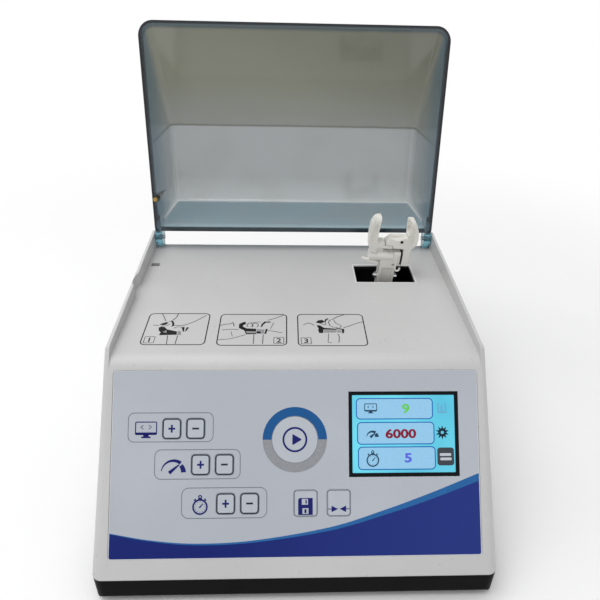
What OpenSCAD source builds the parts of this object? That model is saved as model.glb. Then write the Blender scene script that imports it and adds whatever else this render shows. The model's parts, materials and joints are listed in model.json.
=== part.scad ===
// Dental capsule mixer: sloping keypad front, level deck, tinted lid, oscillating capsule fork.
// Millimetres, +X to the right, +Y to the back, +Z up, resting on z = 0.

/* [Body] */
// Width of the housing at its bottom edge
body_w = 221; // [205:1:240]
// Lean of the side walls from upright, in degrees
side_draft = 1.8; // [1:0.1:2.4]
// Slope of the front panel from level, in degrees
panel_slope = 52; // [48:1:56]
// Length of the front panel from the fold down to the tray
panel_len = 118.5; // [116:0.5:130]
// Depth of the deck from the fold to the rear edge
deck_d = 146; // [144:1:160]
// Distance of each side rim's inner face from the housing's widest side
deck_inset = 6.4; // [6:0.1:7.5]
// Thickness of the housing walls
wall = 3; // [2.5:0.1:3.5]
// Thickness of the front panel
panel_t = 4; // [3.6:0.1:5]
// Radius of the fold between panel and deck
fold_r = 12; // [6:0.5:13]
// Radius of the rear edge of the deck
deck_edge_r = 3; // [1.5:0.5:4]
// Height of the side rims above the deck at the front
rim_front_h = 5; // [4:0.5:7]
// Height of the side rims above the deck at the rear
rim_rear_h = 12.7; // [12:0.1:15]
// Rounding of the rims' outer edges
rim_r = 3.5; // [2.5:0.5:4]
// Rounding of the upright corners at the bottom edge
corner_r = 6; // [4:0.5:8]
// Radius of the finger scallop in the left rim
scallop_r = 14; // [10:1:18]
// Depth of the finger scallop in the left rim
scallop_depth = 2.2; // [1:0.1:2.4]
// Distance of the finger scallop ahead of the deck's rear edge
scallop_back = 72; // [61:1:81]

/* [Tray] */
// Height of the base tray
tray_h = 16.5; // [14:0.5:19]
// Thickness of the tray walls and floor
tray_t = 2.5; // [2:0.1:3]
// Rounding of the tray's lower edges
tray_r = 3.5; // [3:0.5:6]
// Radius of a rubber foot
foot_r = 8; // [6:0.5:10]
// Height of the feet below the tray
foot_h = 2; // [1.5:0.5:4]
// Depth to which a foot sits in the tray floor
foot_seat = 1; // [0.5:0.1:1.5]

/* [Deck openings] */
// Width of the fork opening
opening_w = 40.3; // [38:0.5:44]
// Depth of the fork opening
opening_d = 24.3; // [22:0.1:26]
// Distance of the fork opening's middle to the right of the middle plane
opening_x = 62.9; // [61:0.1:65]
// Distance of the fork opening's middle ahead of the deck's rear edge
opening_back = 47.1; // [44:0.1:54]
// Bevel round the fork opening
opening_bevel = 0.5; // [0.3:0.1:1]
// Width of the interlock slot
slot_w = 5.9; // [5:0.1:7]
// Depth of the interlock slot
slot_d = 4.6; // [4.4:0.1:6]
// Distance of the interlock slot's middle from the deck's left edge
slot_inset = 4.4; // [4.1:0.1:5.1]
// Distance of the interlock slot's middle ahead of the deck's rear edge
slot_back = 35.2; // [33:0.2:40]

/* [Keypad] */
// Distance of the overlay's side edges from the housing's widest side
overlay_margin = 8.8; // [8:0.1:10.5]
// Distance of the overlay's top edge below the fold
overlay_top = 6.8; // [6.5:0.1:8]
// Distance of the overlay's bottom edge below the fold
overlay_bottom = 108; // [106:0.5:110]
// Thickness of the overlay
overlay_t = 0.7; // [0.5:0.1:0.8]
// Depth of the overlay's face below the panel
overlay_sink = 0.2; // [0:0.1:0.4]
// Width of a small key
key_w = 10.3; // [9:0.1:11]
// Height of a small key
key_h = 11.3; // [9:0.1:12]
// Width of the save and reset keys
wide_key_w = 12.9; // [11:0.1:13.5]
// Height of the save and reset keys
wide_key_h = 14.2; // [12:0.1:15]
// Corner radius of a key
key_r = 2; // [1:0.1:3]
// Distance between the middles of a plus and its minus key
key_pitch = 13; // [12.5:0.1:14]
// Radius of the start key
start_r = 12.6; // [10:0.1:13]
// Thickness of a key pad
key_t = 1.2; // [1:0.1:1.4]
// Travel of a key
key_travel = 0.4; // [0.3:0.05:0.5]
// Gap round a key
key_gap = 0.2; // [0.15:0.05:0.3]
// Height of a key dome
dome_h = 0.35; // [0.25:0.05:0.4]
// Radius of a key dome
dome_r = 3.5; // [2.5:0.1:4]

/* [Display] */
// Width of the display's bezel
bezel_w = 61.4; // [60:0.2:64]
// Height of the display's bezel
bezel_h = 46.4; // [45:0.2:48]
// Width of the bezel's border
bezel_border = 1.8; // [1:0.1:2.5]
// Distance of the display's middle to the right of the middle plane
display_x = 59.5; // [57:0.5:60]
// Distance of the display's middle below the fold
display_s = 42.2; // [40:0.5:46]
// Depth of the display module behind the panel's face
display_depth = 7; // [6:0.5:9]

/* [Lid] */
// Gap between the lid and each rim
lid_side_gap = 1.2; // [0.8:0.1:2]
// Distance by which the closed lid reaches ahead of the fold
lid_overhang = 4.5; // [-2:0.5:8]
// Distance from the hinge to the lid's rear edge
lid_rear = 6.2; // [5.5:0.1:8]
// Height of the lid from its edge to its roof
lid_h = 54; // [53:1:58]
// Distance of the roof's side edges inside the lid's rim
lid_taper = 4.7; // [4:0.1:9]
// Distance from the hinge to the rear of the roof
lid_roof_rear = 14.8; // [12:0.2:20]
// Distance from the hinge to the front of the roof
lid_roof_front = 83; // [76:0.5:86]
// Thickness of the lid's walls
lid_t = 3; // [2.5:0.1:3.2]
// Rounding of the lid's roof edges
lid_roof_r = 6.5; // [5:0.5:9]
// Radius of the lid's front corners
lid_corner_r = 10; // [8:0.5:14]
// Angle by which the lid stands open, in degrees
lid_open = 99.5; // [95:0.5:104]
// Height of the hinge above the deck
hinge_h = 7.5; // [7:0.1:8]
// Distance of the hinge ahead of the deck's rear edge
hinge_inset = 4.5; // [4.5:0.1:6]
// Radius of the hinge pins
hinge_pin_r = 1.5; // [1.2:0.1:1.8]
// Gap under the closed lid
lid_seat = 0.4; // [0.3:0.1:0.8]
// Radius of the pin that works the interlock
latch_pin_r = 1.5; // [1.2:0.1:1.7]

/* [Capsule fork] */
// Lean of the arm to the right as it stands, in degrees
arm_lean = 4; // [3:0.5:5]
// Distance of the arm's pivot to the right of the middle plane
arm_x = 59.5; // [58:0.5:61]
// Height of the motor shaft above the resting surface
shaft_z = 54.5; // [52:0.5:56]
// Height of the barrel above the pivot, along the arm
barrel_z = 72; // [71:0.5:75]
// Width of the stem
stem_w = 11.2; // [10:0.2:13]
// Depth of the stem
stem_d = 8; // [7:0.2:8.2]
// Radius of the barrel
barrel_r = 4.4; // [4:0.1:4.6]
// Height of the claws above the barrel
claw_h = 30; // [28:0.5:31]
// Depth of the claws
claw_d = 8.6; // [8:0.2:10]
// Gap between the claws
claw_gap = 19.4; // [18:0.2:20]
// Travel of the sliding jaw
jaw_travel = 8; // [6:0.5:8]
// Radius of the jaw's guide rod
rod_r = 1.5; // [1.3:0.1:1.6]

/* [Drive] */
// Radius of the motor can
motor_r = 31; // [28:0.5:33]
// Length of the motor can
motor_len = 84; // [76:1:86]
// Radius of the motor shaft
shaft_r = 4; // [3.5:0.1:4.5]
// Radius of the hub's journal
journal_r = 7.5; // [7:0.1:8]
// Outer radius of the arm bearing
bearing_r = 16; // [14.5:0.5:17]
// Radius of the counterweight
counterweight_r = 20; // [16:0.5:21]
// Running clearance of shafts in their bores
run_gap = 0.05; // [0.03:0.01:0.08]
// Seating clearance of fixed fits
fit_gap = 0.02; // [0.01:0.01:0.03]

/* [Rear panel] */
// Width of the rear panel
rear_panel_w = 164; // [160:1:170]
// Height of the rear panel
rear_panel_h = 50; // [48:1:56]
// Thickness of the rear panel
rear_panel_t = 1.5; // [1:0.1:1.8]
// Height of the rear panel's middle above the resting surface
rear_panel_z = 52; // [48:1:60]
// Tilt of the power rocker to either side, in degrees
rocker_tilt = 9; // [6:1:10]

/* [Hidden] */
$fn = 48;
// Cutters reach this far past what they cut
past = 1;

// Main planes. A distance t runs back from the fold, s runs down the panel from the fold.
z_split = foot_h + tray_h;
panel_run = panel_len * cos(panel_slope);
z_deck = z_split + panel_len * sin(panel_slope);
deck_half = body_w / 2 - deck_inset;
opening_t = deck_d - opening_back;
slot_t = deck_d - slot_back;
slot_x = deck_half - slot_inset;
scallop_t = deck_d - scallop_back;
hinge_t = deck_d - hinge_inset;
hinge_z = z_deck + hinge_h;

// The lid, closed, seen from its hinge: y to the back, z up
lid_half = deck_half - lid_side_gap;
lid_rim_z = lid_seat - hinge_h;
lid_top_z = lid_rim_z + lid_h;
lid_len = hinge_t + lid_overhang;
lid_roof_half = lid_half - lid_taper;
lid_rear_corner_r = 6;
roof_front_y = lid_roof_r - lid_roof_front;
roof_ball_z = lid_top_z - lid_roof_r;
lid_lean = (lid_half - lid_roof_half) / (roof_ball_z - lid_rim_z);
// How far the open lid reaches behind its hinge
lid_reach = roof_front_y * cos(lid_open) + roof_ball_z * sin(lid_open) + lid_roof_r;

// The origin is the middle of the object's footprint with the lid open
fold_y = (panel_run - hinge_t - lid_reach) / 2;
y_front = fold_y - panel_run;
y_rear = fold_y + deck_d;
body_d = y_rear - y_front;
hinge_y = fold_y + hinge_t;
arm_y = fold_y + opening_t;
side_slope = tan(side_draft);
floor_z = foot_h + tray_t;

// Screw posts between tray and housing
post_x = body_w / 2 - 18;
post_front_y = y_front + 14;
post_rear_y = y_rear - 13;
post_r = 4.5;
screw_r = 1.5;
post_points = [for (x = [-post_x, post_x], y = [post_front_y, post_rear_y]) [x, y]];
foot_inset = 25;
foot_front_y = y_front + 36;
foot_rear_y = y_rear - 34;
foot_points = [for (x = [-1, 1], y = [foot_front_y, foot_rear_y]) [x * (body_w / 2 - foot_inset), y]];

// Panel layers, as depths behind the panel's face
overlay_face = -overlay_sink;
recess_floor = -(overlay_sink + overlay_t);
key_face = overlay_face + 0.1;
key_back = key_face - key_t;
pocket_floor = key_back - key_travel - dome_h - 0.25;
overlay_s = (overlay_top + overlay_bottom) / 2;
overlay_w = body_w - 2 * overlay_margin;
overlay_h = overlay_bottom - overlay_top;
// Places of the keys: across, and down the panel
program_up_at = [-68.9, 38.7];
speed_up_at = [-52.9, 58.2];
timer_up_at = [-39, 79.1];
save_at = [4.6, 79.3];
reset_at = [22.8, 79.3];
start_at = [-1.3, 45];
pair_step = [key_pitch, 0];
small_keys = [
    program_up_at, program_up_at + pair_step, speed_up_at, speed_up_at + pair_step,
    timer_up_at, timer_up_at + pair_step
];
wide_keys = [save_at, reset_at];

// Boards behind the panel
window_gap = 0.2;
lcd_board_w = 78;
lcd_board_h = 50;
lcd_post_x = 35;
lcd_post_y = 20;
board_t = 1.6;
main_board_depth = 16;
main_board_w = 110;
main_board_h = 66;
main_board_at = [-43, 62];
board_post_inset = 5;
main_post_x = main_board_w / 2 - board_post_inset;
main_post_y = main_board_h / 2 - board_post_inset;
lcd_posts = [for (x = [-1, 1], y = [-1, 1]) [display_x + x * lcd_post_x, display_s + y * lcd_post_y]];
main_posts = [for (x = [-1, 1], y = [-1, 1]) main_board_at + [x * main_post_x, y * main_post_y]];
small_screw_r = 1;
tail_at = [-51, 92];
tail_w = 18;
tail_t = 0.4;
socket_h = 4;

// Hinge ears and pins
ear_out = deck_half - 0.5;
ear_in = ear_out - 5.2;
ear_r = 5.2;
pin_in = ear_in - 1.2;
pin_out = deck_half + 2.3;
// The interlock pin on the lid
latch_reach = wall + 3;
latch_top = 14;
latch_boss_r = 2.6;
latch_boss_len = 24;
heel_gap = 0.15;
latch_lid_y = slot_t - hinge_t;

// The capsule fork, in the arm's own frame: x across, z up from the pivot
stem_x = 0.2;
barrel_left = -13.6;
barrel_right = 3;
cap_len = 5;
cap_h = 9.8;
cap_right = barrel_right + cap_len;
slot_right = cap_right + 1.4;
plate_t = 4.8;
claw_left_in = -9.3;
claw_right_in = claw_left_in + claw_gap;
claw_top_z = barrel_z + claw_h;
saddle_z = barrel_z + 11.2;
neck_z = barrel_z + 7;
pin_z = barrel_z - 16;
ledge_z = saddle_z - 2.2;
ledge_x = -4.4;
claw_skin = 1.5;
claw_sink = 0.9;
barrel_bore_r = 2.7;
ring_t = 4.5;
ring_w = 12;
arm_ring_r = bearing_r + ring_t;
bearing_w = 9;
tail_len = 13.5;
tail_half = 3;
spring_t = 0.5;
rod_head = 2;
hook_r = 1.6;
hook_wire_r = 0.7;
hook_y = -claw_d / 2 - hook_wire_r + 0.1;
hook_x = barrel_right + 2.4;
hook_z = barrel_z - 7.6;
rod_left = barrel_left + 3.2;

// Motor and bracket
motor_front = arm_x - 19.5;
motor_back = motor_front - motor_len;
bracket_t = 3;
bracket_z = 10.5;
bracket_base_t = 2.5;
bracket_half = 30;
bracket_left = motor_back + 8;
bracket_right = arm_x + 20;
can_t = 2.5;
can_front_t = 3;
hub_boss_len = bracket_t + 0.8;
motor_bearing_r = 9.5;
motor_bearing_w = 6;
front_bearing_x = motor_front + hub_boss_len - motor_bearing_w;
hub_boss_r = motor_bearing_r + 2;
end_cap_t = 3;
core_left = motor_back + 16;
core_right = motor_front - 15;
rotor_r = 18.4;
stator_in_r = rotor_r + 0.6;
winding_len = 8;
isolator_r = 6;
isolator_seat = 2;
isolator_points = [for (x = [bracket_left + 15, bracket_right - 7], y = [-1, 1]) [x, arm_y + y * 23]];
bracket_screw_r = 2;
motor_screw_ring = 24;
motor_screw_angles = [45, 135, 225, 315];
journal_len = 12;
flange_t = 2;
nut_left = arm_x + journal_len / 2 + 1;
washer_t = 1.2;
nut_t = 5;
guide_half = 13;
guide_top = 30;
guide_floor = 16;
guide_wall_gap = 0.6;

// Power board in the tray
power_w = 44;
power_len = 84;
power_z = 12;
power_x = power_w / 2 + 12.5 - body_w / 2;
power_y = y_rear - 22 - power_len / 2;
power_posts = [for (x = [-1, 1], y = [-1, 1]) [
    power_x + x * (power_w / 2 - board_post_inset),
    power_y + y * (power_len / 2 - board_post_inset)
]];
// Transformer on the power board
yoke_half_w = 16;
yoke_half_d = 13;
yoke_h = 4;
coil_h = 20;

// Interlock switch under the deck
switch_w = 6.4;
switch_len = 19.8;
switch_h = 10.2;
switch_front_t = slot_t - 5;
lever_t = 0.8;
lever_drop = 1.2;
lever_pivot_t = switch_front_t + switch_len - 2.5;
lever_pivot_r = 0.8;
lever_top = z_deck - wall - lever_drop;
switch_top = lever_top - lever_t - 3.2;
lever_pivot_z = lever_top - lever_t / 2;
switch_screws = [for (dt = [5, switch_len - 5]) [fold_y + switch_front_t + dt, switch_top - switch_h / 2]];
rib_t = 2;
rib_in = -slot_x + switch_w / 2;

// Fittings on the rear panel
rear_cut_w = rear_panel_w - 14;
rear_cut_h = rear_panel_h - 14;
rear_face = y_rear;
rear_screw_points = [for (x = [-1, 1], z = [-1, 1])
    [x * (rear_panel_w / 2 - 3.5), rear_panel_z + z * (rear_panel_h / 2 - 3.5)]];
inlet_x = 21 - rear_panel_w / 2;
inlet_w = 27;
inlet_h = 20;
inlet_flange = 2;
inlet_depth = 18;
cavity_w = 24;
cavity_h = 16.6;
cavity_depth = 16;
blade_w = 2;
blade_h = 4;
blade_len = 12;
blade_places = [[-7, -2], [0, 2], [7, -2]];
frame_x = inlet_x + 25;
frame_w = 12.8;
frame_h = 19;
frame_flange = 1.8;
frame_depth = 14;
rocker_w = 10;
rocker_half = 7;
rocker_depth = 3.2;
rocker_pin_r = 1.5;
fuse_x = rear_panel_w / 2 - 14;
fuse_r = 6;
fuse_depth = 22;
fuse_bore_r = 4.3;
vent_first = -16;
vent_pitch = 6;
vent_count = 12;
vent_w = 3;
vent_h = 26;

// Geometry helpers
function unit(v) = v / norm(v);
function half_angle(u, v) = acos(u * v) / 2;
function inset_point(a, b, c, r) =
    let (u = unit(a - b), v = unit(c - b)) b + unit(u + v) * r / sin(half_angle(u, v));
function bearing_of(v) = atan2(v[1], v[0]);
// An arc of radius r that rounds the corner at b of the line a, b, c
function fillet(a, b, c, r, n = 8) =
    let (
        u = unit(a - b),
        v = unit(c - b),
        reach = r / tan(half_angle(u, v)),
        centre = inset_point(a, b, c, r),
        first = bearing_of(b + u * reach - centre),
        last = bearing_of(b + v * reach - centre),
        sweep = (last - first + 540) % 360 - 180
    )
    [for (i = [0:n]) centre + r * [cos(first + sweep * i / n), sin(first + sweep * i / n)]];
// A closed outline with every corner rounded by its own radius
function rounded(points, radii, n = 8) =
    let (m = len(points))
    [for (i = [0:m - 1])
        each radii[i] > 0
            ? fillet(points[(i + m - 1) % m], points[i], points[(i + 1) % m], radii[i], n)
            : [points[i]]];
function body_half(z) = body_w / 2 - (z - z_split) * side_slope;

// Extrudes a (y, z) outline across the object
module across(w) {
    rotate([90, 0, 90]) linear_extrude(w, center = true) children();
}
// Extrudes an (x, z) outline from y0 back to y1
module backwards(y0, y1) {
    translate([0, y1, 0]) rotate([90, 0, 0]) linear_extrude(y1 - y0) children();
}
// A rod along x
module rod_x(r, x0, x1) {
    translate([x0, 0, 0]) rotate([0, 90, 0]) cylinder(r = r, h = x1 - x0);
}
// A rod along y
module rod_y(r, y0, y1) {
    translate([0, y1, 0]) rotate([90, 0, 0]) cylinder(r = r, h = y1 - y0);
}
// A rod along z
module rod_z(r, z0, z1) {
    translate([0, 0, z0]) cylinder(r = r, h = z1 - z0);
}
module block(x0, x1, y0, y1, z0, z1) {
    translate([x0, y0, z0]) cube([x1 - x0, y1 - y0, z1 - z0]);
}
module rounded_rect(w, h, r) {
    square([w - 2 * r, h], center = true);
    square([w, h - 2 * r], center = true);
    for (x = [-1, 1], y = [-1, 1]) {
        translate([x * (w / 2 - r), y * (h / 2 - r)]) circle(r = r);
    }
}
// Puts its children on the front panel: x across, -y down the panel, z out of its face
module on_panel(at = [0, 0]) {
    translate([0, fold_y, z_deck]) rotate([panel_slope, 0, 0]) translate([at[0], -at[1], 0]) children();
}
module panel_layer(z0, z1) {
    translate([0, 0, z0]) linear_extrude(z1 - z0) children();
}
// Puts its children in the closed lid's frame, turned to where the open lid stands
module on_lid() {
    translate([0, hinge_y, hinge_z]) rotate([-lid_open, 0, 0]) children();
}
// Puts its children in the arm's own frame
module on_arm() {
    translate([arm_x, arm_y, shaft_z]) rotate([0, arm_lean, 0]) children();
}
module on_shaft() {
    translate([0, arm_y, shaft_z]) children();
}

// Base tray
module tray_outline(inset) {
    intersection() {
        across(body_w + past) polygon(rounded([
            [y_front + inset, z_split + inset * past], [y_front + inset, foot_h + inset],
            [y_rear - inset, foot_h + inset], [y_rear - inset, z_split + inset * past]
        ], [0, tray_r - inset, tray_r - inset, 0]));
        backwards(y_front, y_rear) polygon(rounded([
            [-body_w / 2 + inset, z_split + inset * past], [-body_w / 2 + inset, foot_h + inset],
            [body_w / 2 - inset, foot_h + inset], [body_w / 2 - inset, z_split + inset * past]
        ], [0, tray_r - inset, tray_r - inset, 0]));
        translate([0, (y_front + y_rear) / 2, 0]) linear_extrude(z_split + past * tray_t)
            rounded_rect(body_w - 2 * inset, body_d - 2 * inset, corner_r - inset);
    }
}
module tray_bosses() {
    for (p = post_points) translate([p[0], p[1], 0]) rod_z(post_r + 1, foot_h, z_split);
    for (p = power_posts) translate([p[0], p[1], 0]) rod_z(3.5, floor_z - past, power_z);
    for (p = isolator_points) translate([p[0], p[1], 0])
        rod_z(isolator_r, floor_z - past, floor_z + isolator_seat);
}
head_r = 2.9;
head_h = 2;
head_seat_z = foot_h + 4;
module base_tray() {
    color([0.12, 0.12, 0.13]) difference() {
        union() {
            difference() {
                tray_outline(0);
                tray_outline(tray_t);
            }
            tray_bosses();
        }
        for (p = post_points) {
            translate([p[0], p[1], 0]) rod_z(screw_r + 0.2, 0, z_split + past);
            translate([p[0], p[1], 0]) rod_z(head_r + 0.3, 0, head_seat_z);
        }
        for (p = power_posts) translate([p[0], p[1], 0]) rod_z(screw_r + fit_gap, floor_z, power_z + past);
        for (p = isolator_points) translate([p[0], p[1], 0])
            rod_z(bracket_screw_r + fit_gap, foot_h + 1, floor_z + isolator_seat + past);
        for (p = foot_points) translate([p[0], p[1], 0]) rod_z(foot_r + fit_gap, 0, foot_h + foot_seat);
    }
}

// Top housing
rim_front = [fold_y + rim_front_h / tan(panel_slope), z_deck + rim_front_h];
rim_rear = [y_rear, z_deck + rim_rear_h];
panel_foot = [y_front, z_split];
rear_foot = [y_rear, z_split];
module housing_ball(at) {
    x = body_half(at[1]) - rim_r / cos(side_draft);
    for (side = [-1, 1]) translate([side * x, at[0], at[1]]) sphere(r = rim_r, $fn = 32);
}
module housing_outside() {
    hull() {
        for (x = [-1, 1], y = [y_front + corner_r, y_rear - corner_r])
            translate([x * (body_w / 2 - corner_r), y, z_split]) cylinder(r = corner_r, h = 0.05, $fn = 64);
        housing_ball(inset_point(panel_foot, rim_front, rim_rear, rim_r));
        housing_ball(inset_point(rim_front, rim_rear, rear_foot, rim_r));
    }
}
// What is taken away above the deck, between the rims
module deck_space() {
    fold_arc = fillet([y_rear, z_deck], [fold_y, z_deck], panel_foot, fold_r, 14);
    panel_out = [-sin(panel_slope), cos(panel_slope)];
    across(2 * deck_half) polygon(concat(
        [[y_rear + past, z_deck + rim_rear_h + past], [y_rear + past, z_deck - deck_edge_r]],
        fillet(rear_foot, [y_rear, z_deck], [fold_y, z_deck], deck_edge_r),
        fold_arc,
        [fold_arc[len(fold_arc) - 1] + panel_out * past, rim_front + [-past, rim_rear_h]]
    ));
}
inner_panel_foot = [y_front + panel_t / sin(panel_slope), z_split];
inner_fold = [fold_y + panel_t / sin(panel_slope) - wall / tan(panel_slope), z_deck - wall];
module housing_inside() {
    low = z_split - past;
    intersection() {
        across(body_w) polygon([
            inner_panel_foot - [0, past], inner_panel_foot, inner_fold,
            [y_rear - wall, z_deck - wall], [y_rear - wall, low]
        ]);
        backwards(y_front, y_rear) polygon([
            [-body_half(low) + wall, low], [body_half(low) - wall, low],
            [body_half(z_deck) - wall, z_deck], [wall - body_half(z_deck), z_deck]
        ]);
    }
}
module bevelled_hole(w, d, bevel) {
    across(w) polygon([[-d / 2, -wall - past], [d / 2, -wall - past], [d / 2, past], [-d / 2, past]]);
    intersection() {
        across(w + 4 * bevel) polygon([
            [-d / 2, -bevel], [d / 2, -bevel], [d / 2 + 2 * bevel, bevel], [-d / 2 - 2 * bevel, bevel]
        ]);
        backwards(-d / 2 - 2 * bevel, d / 2 + 2 * bevel) polygon([
            [-w / 2, -bevel], [w / 2, -bevel], [w / 2 + 2 * bevel, bevel], [-w / 2 - 2 * bevel, bevel]
        ]);
    }
}
module panel_pockets() {
    on_panel([0, overlay_s]) panel_layer(recess_floor, past) rounded_rect(overlay_w, overlay_h, 2);
    for (at = small_keys) on_panel(at) panel_layer(pocket_floor, 0)
        rounded_rect(key_w + 2 * key_gap, key_h + 2 * key_gap, key_r + key_gap);
    for (at = wide_keys) on_panel(at) panel_layer(pocket_floor, 0)
        rounded_rect(wide_key_w + 2 * key_gap, wide_key_h + 2 * key_gap, key_r + key_gap);
    on_panel(start_at) panel_layer(pocket_floor, 0) circle(r = start_r + key_gap);
    on_panel([display_x, display_s]) panel_layer(-panel_t - past, 0)
        square([bezel_w + 2 * window_gap, bezel_h + 2 * window_gap], center = true);
    on_panel(tail_at) panel_layer(-panel_t - past, 0) square([tail_w + 1, tail_t + 0.8], center = true);
}
module panel_posts() {
    for (at = lcd_posts) on_panel(at) rod_z(2.4, -display_depth, -panel_t + 0.5);
    for (at = main_posts) on_panel(at) rod_z(3, -main_board_depth, -panel_t + 0.5);
}
module housing_posts() {
    intersection() {
        housing_outside();
        for (p = post_points) translate([p[0], p[1], 0]) rod_z(post_r, z_split, z_deck - past);
    }
}
module switch_rib() {
    block(rib_in, rib_in + rib_t, fold_y + switch_front_t, fold_y + switch_front_t + switch_len,
        switch_top - switch_h, z_deck - past);
}
module top_housing() {
    color([0.86, 0.87, 0.88]) difference() {
        union() {
            difference() {
                housing_outside();
                housing_inside();
            }
            housing_posts();
            panel_posts();
            switch_rib();
            for (p = rear_screw_points) translate([p[0], 0, p[1]])
                rod_y(3.2, rear_face - wall - 5, rear_face - rear_panel_t);
        }
        deck_space();
        panel_pockets();
        translate([opening_x, arm_y, z_deck]) bevelled_hole(opening_w, opening_d, opening_bevel);
        translate([-slot_x, fold_y + slot_t, z_deck]) bevelled_hole(slot_w, slot_d, 0.2);
        translate([-deck_half - scallop_depth + scallop_r, fold_y + scallop_t, 0])
            rod_z(scallop_r, z_deck, z_deck + rim_rear_h);
        translate([0, hinge_y, hinge_z]) rod_x(hinge_pin_r + run_gap, -pin_out - 0.2, pin_out + 0.2);
        for (p = post_points) translate([p[0], p[1], 0])
            rod_z(screw_r + fit_gap, z_split - past, screw_tip_z + 0.5);
        for (at = lcd_posts) on_panel(at)
            rod_z(small_screw_r + fit_gap, -display_depth - past, -panel_t + 0.5);
        for (at = main_posts) on_panel(at)
            rod_z(small_screw_r + fit_gap, -main_board_depth - past, -panel_t - past);
        block(-rear_panel_w / 2 - 0.2, rear_panel_w / 2 + 0.2, rear_face - rear_panel_t, rear_face + past,
            rear_panel_z - rear_panel_h / 2 - 0.2, rear_panel_z + rear_panel_h / 2 + 0.2);
        block(-rear_cut_w / 2, rear_cut_w / 2, rear_face - 2 * wall, rear_face + past,
            rear_panel_z - rear_cut_h / 2, rear_panel_z + rear_cut_h / 2);
        for (p = rear_screw_points) translate([p[0], 0, p[1]])
            rod_y(small_screw_r + fit_gap, rear_face - wall - 4, rear_face);
        for (p = switch_screws) translate([rib_in, p[0], p[1]])
            rod_x(small_screw_r + fit_gap, -past, rib_t + past);
    }
}

// Keypad
module keypad_overlay() {
    color([0.76, 0.79, 0.84]) difference() {
        on_panel([0, overlay_s]) panel_layer(recess_floor, overlay_face)
            rounded_rect(overlay_w - 0.3, overlay_h - 0.3, 1.9);
        for (at = small_keys) on_panel(at) panel_layer(recess_floor - past, past)
            rounded_rect(key_w + 2 * key_gap, key_h + 2 * key_gap, key_r + key_gap);
        for (at = wide_keys) on_panel(at) panel_layer(recess_floor - past, past)
            rounded_rect(wide_key_w + 2 * key_gap, wide_key_h + 2 * key_gap, key_r + key_gap);
        on_panel(start_at) panel_layer(recess_floor - past, past) circle(r = start_r + key_gap);
        on_panel([display_x, display_s]) panel_layer(recess_floor - past, past)
            square([bezel_w + 2 * window_gap, bezel_h + 2 * window_gap], center = true);
    }
}
module small_key(at) {
    color([0.8, 0.82, 0.87]) on_panel(at) panel_layer(key_back, key_face) rounded_rect(key_w, key_h, key_r);
}
module wide_key(at) {
    color([0.8, 0.82, 0.87]) on_panel(at) panel_layer(key_back, key_face)
        rounded_rect(wide_key_w, wide_key_h, key_r);
}
module key_start() {
    color([0.8, 0.82, 0.87]) on_panel(start_at) panel_layer(key_back, key_face) circle(r = start_r);
}
module key_domes() {
    color([0.75, 0.75, 0.72]) for (at = concat(small_keys, wide_keys, [start_at]))
        on_panel(at) rod_z(dome_r, pocket_floor, pocket_floor + dome_h);
}
module keypad_tail() {
    color([0.55, 0.4, 0.2]) on_panel(tail_at)
        block(-tail_w / 2, tail_w / 2, -tail_t / 2, tail_t / 2, socket_h - main_board_depth, recess_floor);
}

// Display and boards
module display_bezel() {
    color([0.05, 0.06, 0.08]) on_panel([display_x, display_s]) panel_layer(recess_floor, overlay_face)
        difference() {
            square([bezel_w, bezel_h], center = true);
            square([bezel_w - 2 * bezel_border, bezel_h - 2 * bezel_border], center = true);
        }
}
module display_module() {
    color([0.25, 0.65, 0.9]) on_panel([display_x, display_s]) difference() {
        union() {
            panel_layer(-display_depth, recess_floor)
                square([bezel_w - 0.6, bezel_h - 0.6], center = true);
            panel_layer(-display_depth - board_t, -display_depth)
                square([lcd_board_w, lcd_board_h], center = true);
        }
        for (x = [-1, 1], y = [-1, 1]) translate([x * lcd_post_x, y * lcd_post_y, 0])
            rod_z(small_screw_r + 0.1, -display_depth - board_t - past, -display_depth + past);
    }
}
module main_board() {
    color([0.1, 0.4, 0.2]) on_panel(main_board_at) difference() {
        panel_layer(-main_board_depth - board_t, -main_board_depth)
            square([main_board_w, main_board_h], center = true);
        for (x = [-1, 1], y = [-1, 1]) translate([x * main_post_x, y * main_post_y, 0])
            rod_z(small_screw_r + 0.1, -main_board_depth - board_t - past, -main_board_depth + past);
    }
}
// A part standing on the back of the main board, at shares of its half width and half height
module on_board_back(x, y) {
    on_panel(main_board_at)
        translate([x * main_board_w / 2, y * main_board_h / 2, -main_board_depth - board_t]) children();
}
module board_components() {
    color([0.15, 0.15, 0.17]) {
        on_board_back(-0.36, 0.24) block(-8, 8, -8, 8, -1.6, 0);
        on_board_back(0.22, 0.42) block(-10, 10, -8, 8, -12, 0);
        on_board_back(0.65, 0.3) block(-8, 8, -6, 6, -15, 0);
        on_board_back(-0.73, -0.36) rod_z(6, -9, 0);
        for (i = [0:3]) on_board_back(-0.25 + 0.22 * i, -0.48) rod_z(4, -13, 0);
        on_board_back(0.73, -0.54) block(-6, 6, -4, 4, -8, 0);
    }
    color([0.9, 0.9, 0.85]) on_panel(tail_at) difference() {
        block(-tail_w / 2 - 1.5, tail_w / 2 + 1.5, -3, 3, -main_board_depth, socket_h - main_board_depth);
    }
}
module board_screw(top, tip) {
    rod_z(small_screw_r, top, tip);
    rod_z(1.9, top - 1.4, top);
}
module board_screws() {
    color([0.75, 0.75, 0.77]) {
        for (at = lcd_posts) on_panel(at) board_screw(-display_depth - board_t, -panel_t);
        for (at = main_posts) on_panel(at) board_screw(-main_board_depth - board_t, -main_board_depth + 6);
        for (p = power_posts) translate([p[0], p[1], 0]) {
            rod_z(screw_r, power_z - 5, power_z + board_t);
            rod_z(2.6, power_z + board_t, power_z + board_t + 1.8);
        }
    }
}

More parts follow.
